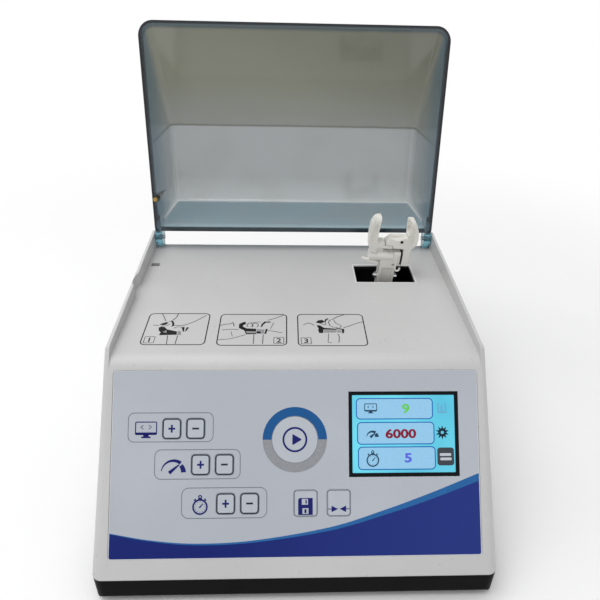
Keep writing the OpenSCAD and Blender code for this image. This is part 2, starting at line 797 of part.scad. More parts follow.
// Lid
module lid_solid(inset) {
    roof_r = lid_roof_r - inset;
    low = lid_rim_z - (inset > 0 ? past : 0);
    hull() {
        for (side = [-1, 1]) {
            translate([side * (lid_half - lid_corner_r), lid_corner_r - lid_len, low])
                cylinder(r = lid_corner_r - inset, h = lid_rim_z - low + 0.2);
            translate([side * (lid_half - lid_rear_corner_r), -lid_rear - lid_rear_corner_r, low])
                cylinder(r = lid_rear_corner_r - inset, h = lid_rim_z - low + 0.2);
            for (y = [roof_front_y, -lid_roof_rear - lid_roof_r])
                translate([side * (lid_roof_half - lid_roof_r), y, roof_ball_z]) sphere(r = roof_r, $fn = 32);
        }
    }
}
// What lies within the lid's side walls
module between_walls() {
    backwards(-lid_len, 0) polygon([
        [-lid_half, lid_rim_z], [lid_half, lid_rim_z],
        [lid_half - lid_lean * lid_h, lid_top_z], [lid_lean * lid_h - lid_half, lid_top_z]
    ]);
}
module ear() {
    across(ear_out - ear_in) {
        circle(r = ear_r);
        // Heel that meets the deck when the lid stands open
        rotate(lid_open) translate([-1, -hinge_h + heel_gap]) square([4, hinge_h - heel_gap]);
    }
    across(ear_out - ear_in) polygon([[0, ear_r], [-4.5, ear_r], [-4.5, -ear_r + 1.5], [0, -ear_r]]);
}
module ear_webs() {
    intersection() {
        between_walls();
        for (side = [-1, 1]) translate([side * (ear_in + ear_out) / 2, 0, 0])
            across(ear_out - ear_in) polygon([
                [-3, ear_r - 0.3], [-lid_rear - 8, ear_r + 5], [-lid_rear - 12, lid_rim_z],
                [-lid_rear - 2, lid_rim_z], [-3, -ear_r + 1.5]
            ]);
    }
}
module lid_shell() {
    color([0.35, 0.55, 0.68, 0.6]) on_lid() difference() {
        union() {
            difference() {
                lid_solid(0);
                lid_solid(lid_t);
            }
            for (side = [-1, 1]) translate([side * (ear_in + ear_out) / 2, 0, 0]) ear();
            ear_webs();
            intersection() {
                between_walls();
                translate([-slot_x, latch_lid_y, 0])
                    rod_z(latch_boss_r, lid_rim_z, lid_rim_z + latch_boss_len);
            }
        }
        rod_x(hinge_pin_r + fit_gap, -lid_half - past, lid_half + past);
        translate([-slot_x, latch_lid_y, 0])
            rod_z(latch_pin_r + fit_gap, lid_rim_z - past, lid_rim_z + latch_top);
    }
}
module lid_hinge_pins() {
    color([0.75, 0.75, 0.77]) on_lid() for (side = [-1, 1])
        translate([side > 0 ? pin_in : -pin_out, 0, 0]) rod_x(hinge_pin_r, 0, pin_out - pin_in);
}
module lid_latch_pin() {
    color([0.8, 0.62, 0.25]) on_lid() translate([-slot_x, latch_lid_y, 0])
        rod_z(latch_pin_r, lid_rim_z - latch_reach, lid_rim_z + latch_top);
}

// Capsule fork. Each claw's outline starts at its inner foot; x runs outwards from its inner face.
left_claw = [
    [0, -27], [0, -19.5], [0.4, -13], [0.1, -7], [-0.4, -1], [0.9, 0], [3.8, -2.1], [5.8, -6.6],
    [6.2, -12], [6, -17.5], [5.6, -22.5], [4.3, -26]
];
left_radii = [0, 8, 8, 8, 0.8, 1.2, 3.5, 4.5, 9, 9, 3.5, 0];
right_claw = [
    [0.8, -22.2], [0.8, -14.5], [0.1, -8], [-0.2, -3.6], [0.3, -1.9], [3.6, -1.9], [5.4, -4.8],
    [7, -9], [8, -14.7], [7.5, -18.7], [5.5, -21.5], [4, -22.2]
];
right_radii = [0, 8, 8, 1, 0.6, 1.6, 3, 6, 7, 3, 3, 0];
function claw_points(outline, inner, side) = [for (p = outline) [inner + side * p[0], claw_top_z + p[1]]];
module claw(outline, radii, inner, side) {
    points = claw_points(outline, inner, side);
    front = -claw_d / 2;
    difference() {
        intersection() {
            backwards(front, claw_d / 2) polygon(rounded(points, radii, 4));
            // Rounded tip, seen from the side
            translate([inner + side * 5, 0, claw_top_z - claw_d / 2]) {
                rod_x(claw_d / 2, -8, 8);
                block(-8, 8, front, claw_d / 2, -claw_top_z, 0);
            }
        }
        // Sunk panel in the front face
        backwards(front - past, front + claw_sink) polygon(rounded([
            [inner + side * 1.9, claw_top_z - 18.5], [inner + side * 1.5, claw_top_z - 6.4],
            [inner + side * 3, claw_top_z - 5.8], [inner + side * 4.6, claw_top_z - 9],
            [inner + side * 4.8, claw_top_z - 18.5]
        ], [0.8, 0.8, 0.8, 2, 0.8], 3));
        // Hollow that takes the capsule's end
        translate([0, 0, claw_top_z - 10])
            rod_x(3.2, min(inner, inner + side * 1.2) - 0.5, max(inner, inner + side * 1.2) + 0.5);
    }
}
module mixing_arm() {
    half_d = claw_d / 2;
    color([0.93, 0.92, 0.88]) on_arm() difference() {
        union() {
            rod_x(arm_ring_r, -ring_w / 2, ring_w / 2);
            block(stem_x - stem_w / 2, stem_x + stem_w / 2, -stem_d / 2, stem_d / 2, bearing_r, barrel_z);
            block(-tail_half, tail_half, -tail_half, tail_half, -arm_ring_r - tail_len, -bearing_r);
            translate([0, 0, barrel_z]) rod_x(barrel_r, barrel_left, barrel_right);
            // Saddle on its neck
            block(barrel_left + 2.5, ledge_x, -2.6, 2.6, barrel_z + 2, neck_z + past);
            block(claw_left_in - 4, ledge_x, -half_d, half_d, neck_z, saddle_z);
            block(ledge_x - past, ledge_x + 5.4, -half_d, half_d, neck_z, ledge_z);
            // Finger tab on the left
            translate([barrel_left - 4.6, 0, barrel_z - 2.2]) rotate([0, 12, 0])
                block(0, 12, -half_d, -1.2, -0.8, 0.8);
            claw(left_claw, left_radii, claw_left_in, -1);
        }
        rod_x(bearing_r + fit_gap, -ring_w / 2 - past, ring_w / 2 + past);
        translate([0, 0, barrel_z]) rod_x(barrel_bore_r, rod_left - 0.6, barrel_right + past);
        translate([0, 0, pin_z]) rod_x(1.2 + fit_gap, -stem_w, stem_w);
        // Seat for the barrel's cap beside the stem's top
        block(barrel_right - fit_gap, stem_w, -claw_d, claw_d, barrel_z - cap_h / 2 - 0.8, saddle_z - 5);
        // Shallow panels in the stem's faces
        for (side = [-1, 1]) translate([stem_x, side * stem_d / 2, 0])
            block(-stem_w / 2 + 2, stem_w / 2 - 2, -0.8, 0.8, arm_ring_r + 2, barrel_z - 8);
    }
}
module arm_bearing() {
    color([0.7, 0.71, 0.73]) on_arm() difference() {
        rod_x(bearing_r, -bearing_w / 2, bearing_w / 2);
        rod_x(journal_r + run_gap, -bearing_w, bearing_w);
        for (side = [-1, 1]) translate([side * bearing_w / 2, 0, 0]) difference() {
            rod_x(bearing_r - 2.5, -0.5, 0.5);
            rod_x(journal_r + 2.5, -past, past);
        }
    }
}
module barrel_cap() {
    color([0.9, 0.89, 0.85]) on_arm() difference() {
        union() {
            translate([barrel_right, 0, barrel_z - 0.4]) rotate([90, 0, 90]) linear_extrude(cap_len)
                rounded_rect(claw_d, cap_h, 1.4);
            translate([0, 0, barrel_z])
                rod_x(barrel_bore_r - fit_gap, barrel_right - 1.5, barrel_right + past);
            // Wire hook under the cap
            translate([hook_x, hook_y, 0]) rod_z(hook_wire_r, hook_z, barrel_z + 2);
            translate([hook_x + hook_r, hook_y, hook_z]) rotate([90, 0, 0]) rotate([0, 0, 180])
                rotate_extrude(angle = 210) translate([hook_r, 0]) circle(r = hook_wire_r);
        }
        translate([0, 0, barrel_z]) rod_x(rod_r + run_gap, barrel_right - 3, cap_right + past);
    }
}
module jaw_spring() {
    color([0.7, 0.7, 0.7]) on_arm() translate([0, 0, barrel_z]) difference() {
        rod_x(barrel_bore_r - 0.3, rod_left + rod_head + 0.1, barrel_right - 1.6);
        rod_x(barrel_bore_r - 0.3 - spring_t, rod_left, barrel_right);
    }
}
module stem_pin() {
    color([0.85, 0.85, 0.87]) on_arm() translate([0, 0, pin_z]) {
        rod_x(1.2, stem_x - stem_w / 2 - 3, stem_x + stem_w / 2 + 3);
        rod_x(2.1, stem_x - stem_w / 2 - 2.2, stem_x - stem_w / 2);
        rod_x(2.1, stem_x + stem_w / 2, stem_x + stem_w / 2 + 2.2);
    }
}
jaw_foot = barrel_z + 7.4;
jaw_top = barrel_z + 14.8;
module sliding_jaw() {
    color([0.94, 0.93, 0.9]) on_arm() difference() {
        union() {
            claw(right_claw, right_radii, claw_right_in, 1);
            backwards(-claw_d / 2, claw_d / 2) polygon(rounded([
                [1.4, jaw_foot], [claw_right_in + 3, jaw_foot], [claw_right_in + 3, jaw_top + 0.4],
                [0, jaw_top], [ledge_x + 0.8, jaw_top - 3.4], [ledge_x + 0.8, ledge_z + 0.3],
                [1.4, ledge_z + 0.3]
            ], [0.8, 0, 0, 1.5, 0.5, 0.3, 0.4], 4));
            block(slot_right, slot_right + plate_t, -claw_d / 2, claw_d / 2, barrel_z - 5.4, jaw_top - 4);
            translate([0, 0, barrel_z]) rod_x(rod_r, rod_left, slot_right + past);
            translate([0, 0, barrel_z]) rod_x(barrel_bore_r - 0.4, rod_left, rod_left + rod_head);
        }
        translate([7.1, 0, barrel_z + 12.4]) rod_y(1.1, -claw_d, claw_d);
        // Hollow in the block's top under the capsule
        translate([3.4, -claw_d / 2, jaw_top + 7.6]) rod_y(9, -past, 5);
    }
}

// Drive
module motor_shaft() {
    color([0.75, 0.76, 0.78]) on_shaft()
        rod_x(shaft_r, motor_back - end_cap_t - 1, nut_left + washer_t + nut_t + 1.5);
}
module rotor_core() {
    color([0.45, 0.45, 0.47]) on_shaft() difference() {
        rod_x(rotor_r, core_left, core_right);
        rod_x(shaft_r + fit_gap, core_left - past, core_right + past);
    }
}
module skew_hub() {
    color([0.65, 0.66, 0.68]) difference() {
        on_arm() {
            rod_x(journal_r, -journal_len / 2, journal_len / 2);
            rod_x(journal_r + 2.5, -journal_len / 2 - flange_t, -journal_len / 2);
        }
        on_shaft() rod_x(shaft_r + fit_gap, arm_x - journal_len, arm_x + journal_len);
    }
}
module hub_nut() {
    color([0.8, 0.8, 0.82]) on_shaft() difference() {
        union() {
            rod_x(journal_r + 1, nut_left, nut_left + washer_t);
            translate([nut_left + washer_t, 0, 0]) rotate([0, 90, 0]) cylinder(r = 7.2, h = nut_t, $fn = 6);
        }
        rod_x(shaft_r + fit_gap, nut_left - past, nut_left + nut_t + 2 * past);
    }
}
module counterweight() {
    color([0.55, 0.5, 0.35]) on_shaft() translate([motor_front + bracket_t + 2, 0, 0]) difference() {
        union() {
            rod_x(7.5, 0, 5);
            intersection() {
                rod_x(counterweight_r, 0, 5);
                block(0, 5, -counterweight_r, counterweight_r, -counterweight_r, 0);
            }
        }
        rod_x(shaft_r + fit_gap, -past, 5 + past);
    }
}
module motor_can() {
    color([0.3, 0.31, 0.33]) on_shaft() difference() {
        union() {
            rod_x(motor_r, motor_back, motor_front);
            rod_x(hub_boss_r, motor_front - past, motor_front + hub_boss_len);
        }
        rod_x(motor_r - can_t, motor_back - past, motor_front - can_front_t);
        rod_x(motor_bearing_r + fit_gap, front_bearing_x, motor_front + bracket_t + past);
        rod_x(shaft_r + 1, motor_front - motor_bearing_w, motor_front + past);
        for (a = motor_screw_angles) rotate([a, 0, 0]) translate([0, 0, motor_screw_ring])
            rod_x(screw_r + fit_gap, motor_front - can_front_t - past, motor_front + past);
    }
}
module motor_end_cap() {
    color([0.35, 0.36, 0.38]) on_shaft() difference() {
        union() {
            rod_x(motor_r, motor_back - end_cap_t, motor_back);
            rod_x(hub_boss_r, motor_back - end_cap_t - 4, motor_back);
            rod_x(motor_r - can_t - fit_gap, motor_back - past, motor_back + 2);
        }
        rod_x(motor_bearing_r + fit_gap, motor_back + 2 - motor_bearing_w, motor_back + 2 + past);
        rod_x(shaft_r + 1, motor_back - end_cap_t - 1.5, motor_back + past);
    }
}
module motor_bearing(x0) {
    difference() {
        rod_x(motor_bearing_r, x0, x0 + motor_bearing_w);
        rod_x(shaft_r + run_gap, x0 - past, x0 + motor_bearing_w + past);
    }
}
module motor_bearings() {
    color([0.75, 0.76, 0.78]) on_shaft() {
        motor_bearing(front_bearing_x);
        motor_bearing(motor_back + 2 - motor_bearing_w);
    }
}
module stator_core() {
    color([0.5, 0.5, 0.52]) on_shaft() difference() {
        rod_x(motor_r - can_t - fit_gap, core_left, core_right);
        rod_x(stator_in_r, core_left - past, core_right + past);
    }
}
module stator_windings() {
    color([0.72, 0.4, 0.2]) on_shaft() for (x0 = [core_left - winding_len, core_right]) difference() {
        rod_x(motor_r - can_t - 1.5, x0, x0 + winding_len);
        rod_x(stator_in_r + 1, x0 - past, x0 + winding_len + past);
    }
}
module motor_bracket() {
    wall_y = arm_y + bracket_half;
    color([0.6, 0.61, 0.63]) difference() {
        union() {
            block(bracket_left, bracket_right, wall_y - 2 * bracket_half, wall_y,
                bracket_z, bracket_z + bracket_base_t);
            block(motor_front, motor_front + bracket_t, wall_y - 2 * bracket_half, wall_y,
                bracket_z, shaft_z);
            on_shaft() rod_x(bracket_half, motor_front, motor_front + bracket_t);
            block(motor_back + 14, motor_back + 14 + bracket_t, arm_y - 20, arm_y + 20,
                bracket_z, shaft_z - 18);
        }
        on_shaft() rod_x(hub_boss_r + 0.1, motor_front - past, motor_front + bracket_t + past);
        on_shaft() rod_x(motor_r + fit_gap, motor_back, motor_front);
        on_shaft() for (a = motor_screw_angles) rotate([a, 0, 0]) translate([0, 0, motor_screw_ring])
            rod_x(screw_r + 0.2, motor_front - past, motor_front + bracket_t + past);
        for (p = isolator_points) translate([p[0], p[1], 0])
            rod_z(bracket_screw_r + 0.2, bracket_z - past, bracket_z + bracket_base_t + past);
        for (side = [-1, 1]) translate([arm_x, arm_y + side * (guide_half - 4), 0])
            rod_z(screw_r + fit_gap, bracket_z - past, bracket_z + bracket_base_t + past);
    }
}
module motor_screws() {
    color([0.8, 0.8, 0.82]) on_shaft() for (a = motor_screw_angles) rotate([a, 0, 0])
        translate([0, 0, motor_screw_ring]) {
            rod_x(screw_r, motor_front - can_front_t - 2, motor_front + bracket_t);
            rod_x(2.7, motor_front + bracket_t, motor_front + bracket_t + 1.8);
        }
}
module motor_isolators() {
    color([0.1, 0.1, 0.1]) for (p = isolator_points) translate([p[0], p[1], 0]) difference() {
        rod_z(isolator_r, foot_h + tray_t + isolator_seat, bracket_z);
        rod_z(bracket_screw_r + 0.1, foot_h, bracket_z + past);
    }
}
module bracket_screws() {
    color([0.8, 0.8, 0.82]) {
        for (p = isolator_points) translate([p[0], p[1], 0]) {
            rod_z(bracket_screw_r, foot_h + 1.2, bracket_z + bracket_base_t);
            rod_z(3.8, bracket_z + bracket_base_t, bracket_z + bracket_base_t + 2.2);
        }
        for (side = [-1, 1]) translate([arm_x, arm_y + side * (guide_half - 4), 0]) {
            rod_z(screw_r, bracket_z, guide_top);
            rod_z(2.7, guide_top, guide_top + 1.8);
        }
    }
}
// Slotted block that lets the arm's tail swing across but not turn with the shaft
module guide_block() {
    color([0.9, 0.88, 0.8]) translate([arm_x, arm_y, 0]) difference() {
        block(-9, 9, -guide_half, guide_half, bracket_z + bracket_base_t, guide_top);
        block(-9 - past, 9 + past, -tail_half - guide_wall_gap, tail_half + guide_wall_gap,
            guide_floor, guide_top + past);
        for (side = [-1, 1]) translate([0, side * (guide_half - 4), 0])
            rod_z(screw_r + 0.2, bracket_z, guide_top + past);
    }
}

// Power supply
module power_board() {
    color([0.1, 0.38, 0.2]) difference() {
        block(power_x - power_w / 2, power_x + power_w / 2, power_y - power_len / 2, power_y + power_len / 2,
            power_z, power_z + board_t);
        for (p = power_posts) translate([p[0], p[1], 0])
            rod_z(screw_r + 0.1, power_z - past, power_z + board_t + past);
    }
}
module power_transformer() {
    z0 = power_z + board_t;
    z1 = z0 + yoke_h;
    z2 = z1 + coil_h;
    color([0.75, 0.6, 0.2]) translate([power_x, power_y - power_len / 6, 0]) {
        block(-yoke_half_w, yoke_half_w, -yoke_half_d, yoke_half_d, z0, z1);
        block(-10, 10, -11, 11, z1, z2);
        block(-yoke_half_w, yoke_half_w, -yoke_half_d, yoke_half_d, z2, z2 + 3);
        for (side = [-1, 1]) block(side * 13 - 3, side * 13 + 3, -9, 9, z1, z2);
    }
}
module power_capacitors() {
    z0 = power_z + board_t;
    color([0.1, 0.15, 0.3]) for (x = [-9, 9])
        translate([power_x + x, power_y + power_len / 4, 0]) rod_z(7.5, z0, z0 + 28);
}

// Lid interlock
module interlock_switch() {
    color([0.15, 0.15, 0.16]) difference() {
        union() {
            block(-slot_x - switch_w / 2, -slot_x + switch_w / 2, fold_y + switch_front_t,
                fold_y + switch_front_t + switch_len, switch_top - switch_h, switch_top);
            // Ears that carry the lever's pivot
            for (side = [-1, 1]) translate([-slot_x + side * (switch_w / 2 - 0.5), fold_y + lever_pivot_t, 0])
                block(-0.5, 0.5, -1.8, 1.8, switch_top - past, lever_pivot_z + 1.4);
        }
        for (p = switch_screws) translate([-slot_x, p[0], p[1]])
            rod_x(small_screw_r + 0.1, -switch_w, switch_w);
        translate([-slot_x, fold_y + lever_pivot_t, lever_pivot_z])
            rod_x(lever_pivot_r + run_gap, -switch_w, switch_w);
    }
}
module interlock_lever() {
    lever_w = switch_w - 2.8;
    color([0.78, 0.78, 0.8]) translate([-slot_x, fold_y, 0]) {
        block(-lever_w / 2, lever_w / 2, switch_front_t + 1, lever_pivot_t, lever_top - lever_t, lever_top);
        translate([0, lever_pivot_t, lever_pivot_z]) rod_x(lever_pivot_r, -switch_w / 2, switch_w / 2);
    }
}
module interlock_screws() {
    color([0.8, 0.8, 0.82]) for (p = switch_screws) translate([-slot_x, p[0], p[1]]) {
        rod_x(small_screw_r, -switch_w / 2, switch_w / 2 + rib_t);
        rod_x(1.8, -switch_w / 2 - 1.2, -switch_w / 2);
    }
}

// Rear panel and its fittings
module rear_panel() {
    color([0.13, 0.13, 0.14]) difference() {
        block(-rear_panel_w / 2, rear_panel_w / 2, rear_face - rear_panel_t, rear_face,
            rear_panel_z - rear_panel_h / 2, rear_panel_z + rear_panel_h / 2);
        block(inlet_x - inlet_w / 2 - 0.1, inlet_x + inlet_w / 2 + 0.1, rear_face - wall, rear_face + past,
            rear_panel_z - inlet_h / 2 - 0.1, rear_panel_z + inlet_h / 2 + 0.1);
        block(frame_x - frame_w / 2 - 0.1, frame_x + frame_w / 2 + 0.1, rear_face - wall, rear_face + past,
            rear_panel_z - frame_h / 2 - 0.1, rear_panel_z + frame_h / 2 + 0.1);
        translate([fuse_x, 0, rear_panel_z]) rod_y(fuse_r + 0.1, rear_face - wall, rear_face + past);
        for (i = [0:vent_count - 1]) translate([vent_first + i * vent_pitch, rear_face - wall, rear_panel_z])
            rotate([-90, 0, 0]) linear_extrude(2 * wall) rounded_rect(vent_w, vent_h, vent_w / 2 - 0.01);
        for (p = rear_screw_points) translate([p[0], 0, p[1]])
            rod_y(small_screw_r + 0.2, rear_face - wall, rear_face + past);
    }
}
module rear_panel_screws() {
    color([0.7, 0.7, 0.72]) for (p = rear_screw_points) translate([p[0], 0, p[1]]) {
        rod_y(small_screw_r, rear_face - wall - 3, rear_face);
        rod_y(2, rear_face, rear_face + 1.3);
    }
}
module mains_inlet() {
    color([0.08, 0.08, 0.09]) translate([inlet_x, rear_face, rear_panel_z]) difference() {
        union() {
            block(-inlet_w / 2 - 2, inlet_w / 2 + 2, 0, inlet_flange, -inlet_h / 2 - 2, inlet_h / 2 + 2);
            block(-inlet_w / 2, inlet_w / 2, -inlet_depth, inlet_flange, -inlet_h / 2, inlet_h / 2);
        }
        backwards(inlet_flange - cavity_depth, inlet_flange + past) polygon([
            [-cavity_w / 2, -cavity_h / 2], [cavity_w / 2, -cavity_h / 2], [cavity_w / 2, cavity_h / 2 - 5],
            [cavity_w / 2 - 5, cavity_h / 2], [5 - cavity_w / 2, cavity_h / 2],
            [-cavity_w / 2, cavity_h / 2 - 5]
        ]);
        for (p = blade_places)
            block(p[0] - blade_w / 2, p[0] + blade_w / 2, -inlet_depth - past, 0,
                p[1] - blade_h / 2, p[1] + blade_h / 2);
    }
}
module inlet_blades() {
    blade_tip = inlet_flange - cavity_depth + blade_len;
    color([0.8, 0.8, 0.78]) translate([inlet_x, rear_face, rear_panel_z]) for (p = blade_places)
        block(p[0] - blade_w / 2, p[0] + blade_w / 2, -inlet_depth - 7, blade_tip,
            p[1] - blade_h / 2, p[1] + blade_h / 2);
}
module switch_frame() {
    color([0.08, 0.08, 0.09]) translate([frame_x, rear_face, rear_panel_z]) difference() {
        union() {
            block(-frame_w / 2 - 1.2, frame_w / 2 + 1.2, 0, frame_flange,
                -frame_h / 2 - 1.2, frame_h / 2 + 1.2);
            block(-frame_w / 2, frame_w / 2, -frame_depth, frame_flange, -frame_h / 2, frame_h / 2);
        }
        block(-rocker_w / 2 - 0.3, rocker_w / 2 + 0.3, -frame_depth + 4, frame_flange + past,
            -rocker_half - 0.8, rocker_half + 0.8);
        translate([0, -1, 0]) rod_x(rocker_pin_r + run_gap, -frame_w / 2 + 0.4, frame_w / 2 - 0.4);
    }
}
module switch_rocker() {
    color([0.15, 0.15, 0.16]) translate([frame_x, rear_face - 1, rear_panel_z]) rotate([rocker_tilt, 0, 0]) {
        across(rocker_w) polygon(rounded([
            [rocker_depth + 1.2, rocker_half], [rocker_depth - 0.4, 0], [rocker_depth + 1.2, -rocker_half],
            [-1, -rocker_half], [-rocker_depth, 0], [-1, rocker_half]
        ], [1, 12, 1, 1, 2, 1], 5));
        rod_x(rocker_pin_r, -frame_w / 2 + 0.6, frame_w / 2 - 0.6);
    }
}
module fuse_holder() {
    color([0.1, 0.1, 0.11]) translate([fuse_x, rear_face, rear_panel_z]) difference() {
        union() {
            rod_y(fuse_r + 2.2, 0, 2);
            rod_y(fuse_r, -fuse_depth, 2);
        }
        rod_y(fuse_bore_r, 2 - fuse_depth + 3, 2 + past);
    }
}
module fuse_cap() {
    color([0.12, 0.12, 0.13]) translate([fuse_x, rear_face, rear_panel_z]) difference() {
        union() {
            rod_y(fuse_r + 0.8, 2.3, 7.5);
            rod_y(fuse_bore_r - run_gap, 6 - fuse_depth, 3);
        }
        block(-5, 5, 6.3, 9, -0.7, 0.7);
    }
}

// Feet and tray screws
screw_tip_z = z_split + 6;
module rubber_feet() {
    color([0.15, 0.15, 0.15]) for (p = foot_points)
        translate([p[0], p[1], 0]) rod_z(foot_r, 0, foot_h + foot_seat);
}
module tray_screws() {
    color([0.75, 0.75, 0.77]) for (p = post_points) translate([p[0], p[1], 0]) {
        rod_z(screw_r, head_seat_z - past, screw_tip_z);
        rod_z(head_r, head_seat_z - head_h, head_seat_z);
    }
}

base_tray();
top_housing();
keypad_overlay();
display_bezel();
display_module();
main_board();
board_components();
keypad_tail();
key_domes();
small_key(small_keys[0]);  // key_program_up
small_key(small_keys[1]);  // key_program_down
small_key(small_keys[2]);  // key_speed_up
small_key(small_keys[3]);  // key_speed_down
small_key(small_keys[4]);  // key_timer_up
small_key(small_keys[5]);  // key_timer_down
wide_key(save_at);  // key_save
wide_key(reset_at);  // key_reset
key_start();
lid_shell();
lid_hinge_pins();
lid_latch_pin();
mixing_arm();
arm_bearing();
barrel_cap();
jaw_spring();
stem_pin();
sliding_jaw();
motor_shaft();
rotor_core();
skew_hub();
hub_nut();
counterweight();
motor_can();
motor_end_cap();
motor_bearings();
stator_core();
stator_windings();
motor_bracket();
motor_isolators();
bracket_screws();
motor_screws();
guide_block();
power_board();
power_transformer();
power_capacitors();
interlock_switch();
interlock_lever();
interlock_screws();
rear_panel();
rear_panel_screws();
mains_inlet();
inlet_blades();
switch_frame();
switch_rocker();
fuse_holder();
fuse_cap();
rubber_feet();
tray_screws();
board_screws();
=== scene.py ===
"""Looks of a bench capsule mixer, dressed around its packed frame and laid out as a Blender add-on."""

import json
import math
import random

import bmesh
import bpy
from bpy.props import FloatProperty, FloatVectorProperty, IntProperty, PointerProperty, StringProperty
from mathutils import Matrix, Vector


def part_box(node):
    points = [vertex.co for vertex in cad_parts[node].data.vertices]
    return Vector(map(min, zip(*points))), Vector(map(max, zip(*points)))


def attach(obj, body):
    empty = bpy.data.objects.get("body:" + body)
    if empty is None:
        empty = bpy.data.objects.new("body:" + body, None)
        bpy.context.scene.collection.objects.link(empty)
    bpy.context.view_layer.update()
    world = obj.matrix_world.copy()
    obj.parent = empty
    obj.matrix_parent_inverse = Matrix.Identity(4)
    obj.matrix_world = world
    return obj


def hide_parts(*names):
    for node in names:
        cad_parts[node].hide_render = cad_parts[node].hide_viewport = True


bl_info = {
    "name": "Capsule mixer looks",
    "version": (1, 0, 0),
    "blender": (4, 5, 0),
    "location": "View3D > Sidebar > Mixer",
    "description": "Finishes, prints, springs, windings and stage for a bench capsule mixer",
    "category": "Object",
}

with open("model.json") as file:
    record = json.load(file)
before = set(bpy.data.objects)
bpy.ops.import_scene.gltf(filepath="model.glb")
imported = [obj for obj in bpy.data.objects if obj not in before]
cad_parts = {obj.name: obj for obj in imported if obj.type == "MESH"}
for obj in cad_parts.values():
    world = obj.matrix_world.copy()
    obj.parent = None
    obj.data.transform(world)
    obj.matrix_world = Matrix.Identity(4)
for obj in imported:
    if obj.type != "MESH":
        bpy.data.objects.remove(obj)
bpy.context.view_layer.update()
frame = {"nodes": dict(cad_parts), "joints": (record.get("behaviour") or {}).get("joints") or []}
NODES = frame["nodes"]
JOINTS = {j["name"]: j for j in frame["joints"]}
MM = 0.001

# Planes of the machine, worked out from its joints
HINGE = Vector(JOINTS["lid_hinge"]["pos_m"])
DECK_Z = HINGE.z - 7.5 * MM
FOLD_Y = HINGE.y - 141.5 * MM
PANEL_SLOPE = math.radians(52)
ARM_PIVOT = Vector(JOINTS["arm_wobble"]["pos_m"])
ARM_LEAN = math.radians(4)
REAR_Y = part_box("rear_panel")[1].y
REAR_Z = 52 * MM

# How far a print reaches below its face, in millimetres
SUNK = 0.03
# Depth of the screen behind the panel's plane, and the step from one layer of its picture to the next
SCREEN_DEPTH, LAYER = -0.9, 0.03
# Height of a plain number as a share of its letter size
FIGURE_SHARE = 0.69
# Straight pieces that make a rounded corner, and a band of the ring
CORNER_STEPS, BAND_STEPS = 7, 40

# Painted shade on the housing's inner faces: its colour, and how far behind the outer faces it begins, in millimetres
INSIDE_SHADE = (0.10, 0.10, 0.11)
SIDE_DRAFT = math.tan(math.radians(1.8))
WALL_SHADE, DECK_SHADE, PANEL_SHADE = 2.1, 1.61, 3.2
# The painted shade's limit under the deck leans to the right, so that the slot on the left stays white
DECK_SHADE_TILT = -0.0129

# The lid: how far it stands open, the reach of its ears from the pins, and its rim as a rounded rectangle
LID_OPEN = math.radians(99.5)
LID_EAR = 20
RIM_BELOW_HINGE, RIM_MIDDLE, RIM_HALVES, RIM_CORNER = 7.1, 69.9, (102.9, 76.1), 10

# The fork and its drive, in millimetres
BARREL_Z = 72.0
SPRING_ENDS, SPRING_RADIUS = (-8.2, 1.3), 2.1
JOURNAL_R, BEARING_R, BORE_GAP = 7.5, 16.0, 0.05
MOTOR_BEARING, ARM_BEARING = 6, 9
ROCKER_REST = math.radians(9)

# The stage, in metres; the camera's tilt, heading and roll
LAMP_TARGET = Vector((0, 0, 0.08))
FLOOR_REACH, FLOOR_FADE = 6.0, (0.25, 0.75)
CAMERA_PLACE = Vector((-6.9 * MM, FOLD_Y - 257.8 * MM, DECK_Z + 195.1 * MM))
CAMERA_TURN = [math.radians(a) for a in (32.3, 2.67, -1.55)]
CAMERA_SHIFT = (-0.0128, 0.0162)
# Black mouldings and rubber hardly mirror the white surroundings
DULL = {"Specular_IOR_Level": 0.03}


def plane(origin, across, up):
    """Matrix from a drawing plane (across, up, outwards) to the row frame."""
    across, up = Vector(across).normalized(), Vector(up).normalized()
    out = across.cross(up)
    rows = zip(across, up, out, origin)
    return Matrix([list(r) for r in rows] + [[0, 0, 0, 1]])


DECK = plane((0, FOLD_Y, DECK_Z), (1, 0, 0), (0, 1, 0))
PANEL = plane((0, FOLD_Y, DECK_Z), (1, 0, 0), (0, math.cos(PANEL_SLOPE), math.sin(PANEL_SLOPE)))
ARM = plane(ARM_PIVOT, (math.cos(ARM_LEAN), 0, -math.sin(ARM_LEAN)), (0, 1, 0))
REAR = plane((0, REAR_Y, REAR_Z), (-1, 0, 0), (0, 0, 1))
GROUND = plane((0, 0, 0), (-1, 0, 0), (0, 1, 0))

# Printed faces: the plane, the depth in it in millimetres, and the record's material slot
FILM_FACE = (PANEL, -0.2, "overlay_film")
KEY_FACE = (PANEL, -0.1, "key_film")
DECK_FACE = (DECK, 0.0, "housing_white")


# Flat shapes, in millimetres: a shape is a list of closed loops, the first the outline, the others holes
def spot(x, y, r, angle):
    """The point at that distance and angle, in degrees, from x, y."""
    return x + r * math.cos(math.radians(angle)), y + r * math.sin(math.radians(angle))


def arc(x, y, r, start, end, steps):
    return [spot(x, y, r, start + (end - start) * i / steps) for i in range(steps + 1)]


def circle(x, y, r, steps=48):
    return arc(x, y, r, 0, 360, steps)[:-1]


def rounded(x0, y0, x1, y1, r):
    corners = [(x1 - r, y1 - r, 0), (x0 + r, y1 - r, 90), (x0 + r, y0 + r, 180), (x1 - r, y0 + r, 270)]
    return [p for x, y, a in corners for p in arc(x, y, r, a, a + 90, CORNER_STEPS)]


def rounded_line(x0, y0, x1, y1, r, width):
    """Outline of a rounded rectangle, drawn as a line of that width."""
    h = width / 2
    return [rounded(x0 - h, y0 - h, x1 + h, y1 + h, r + h), rounded(x0 + h, y0 + h, x1 - h, y1 - h, r - h)]


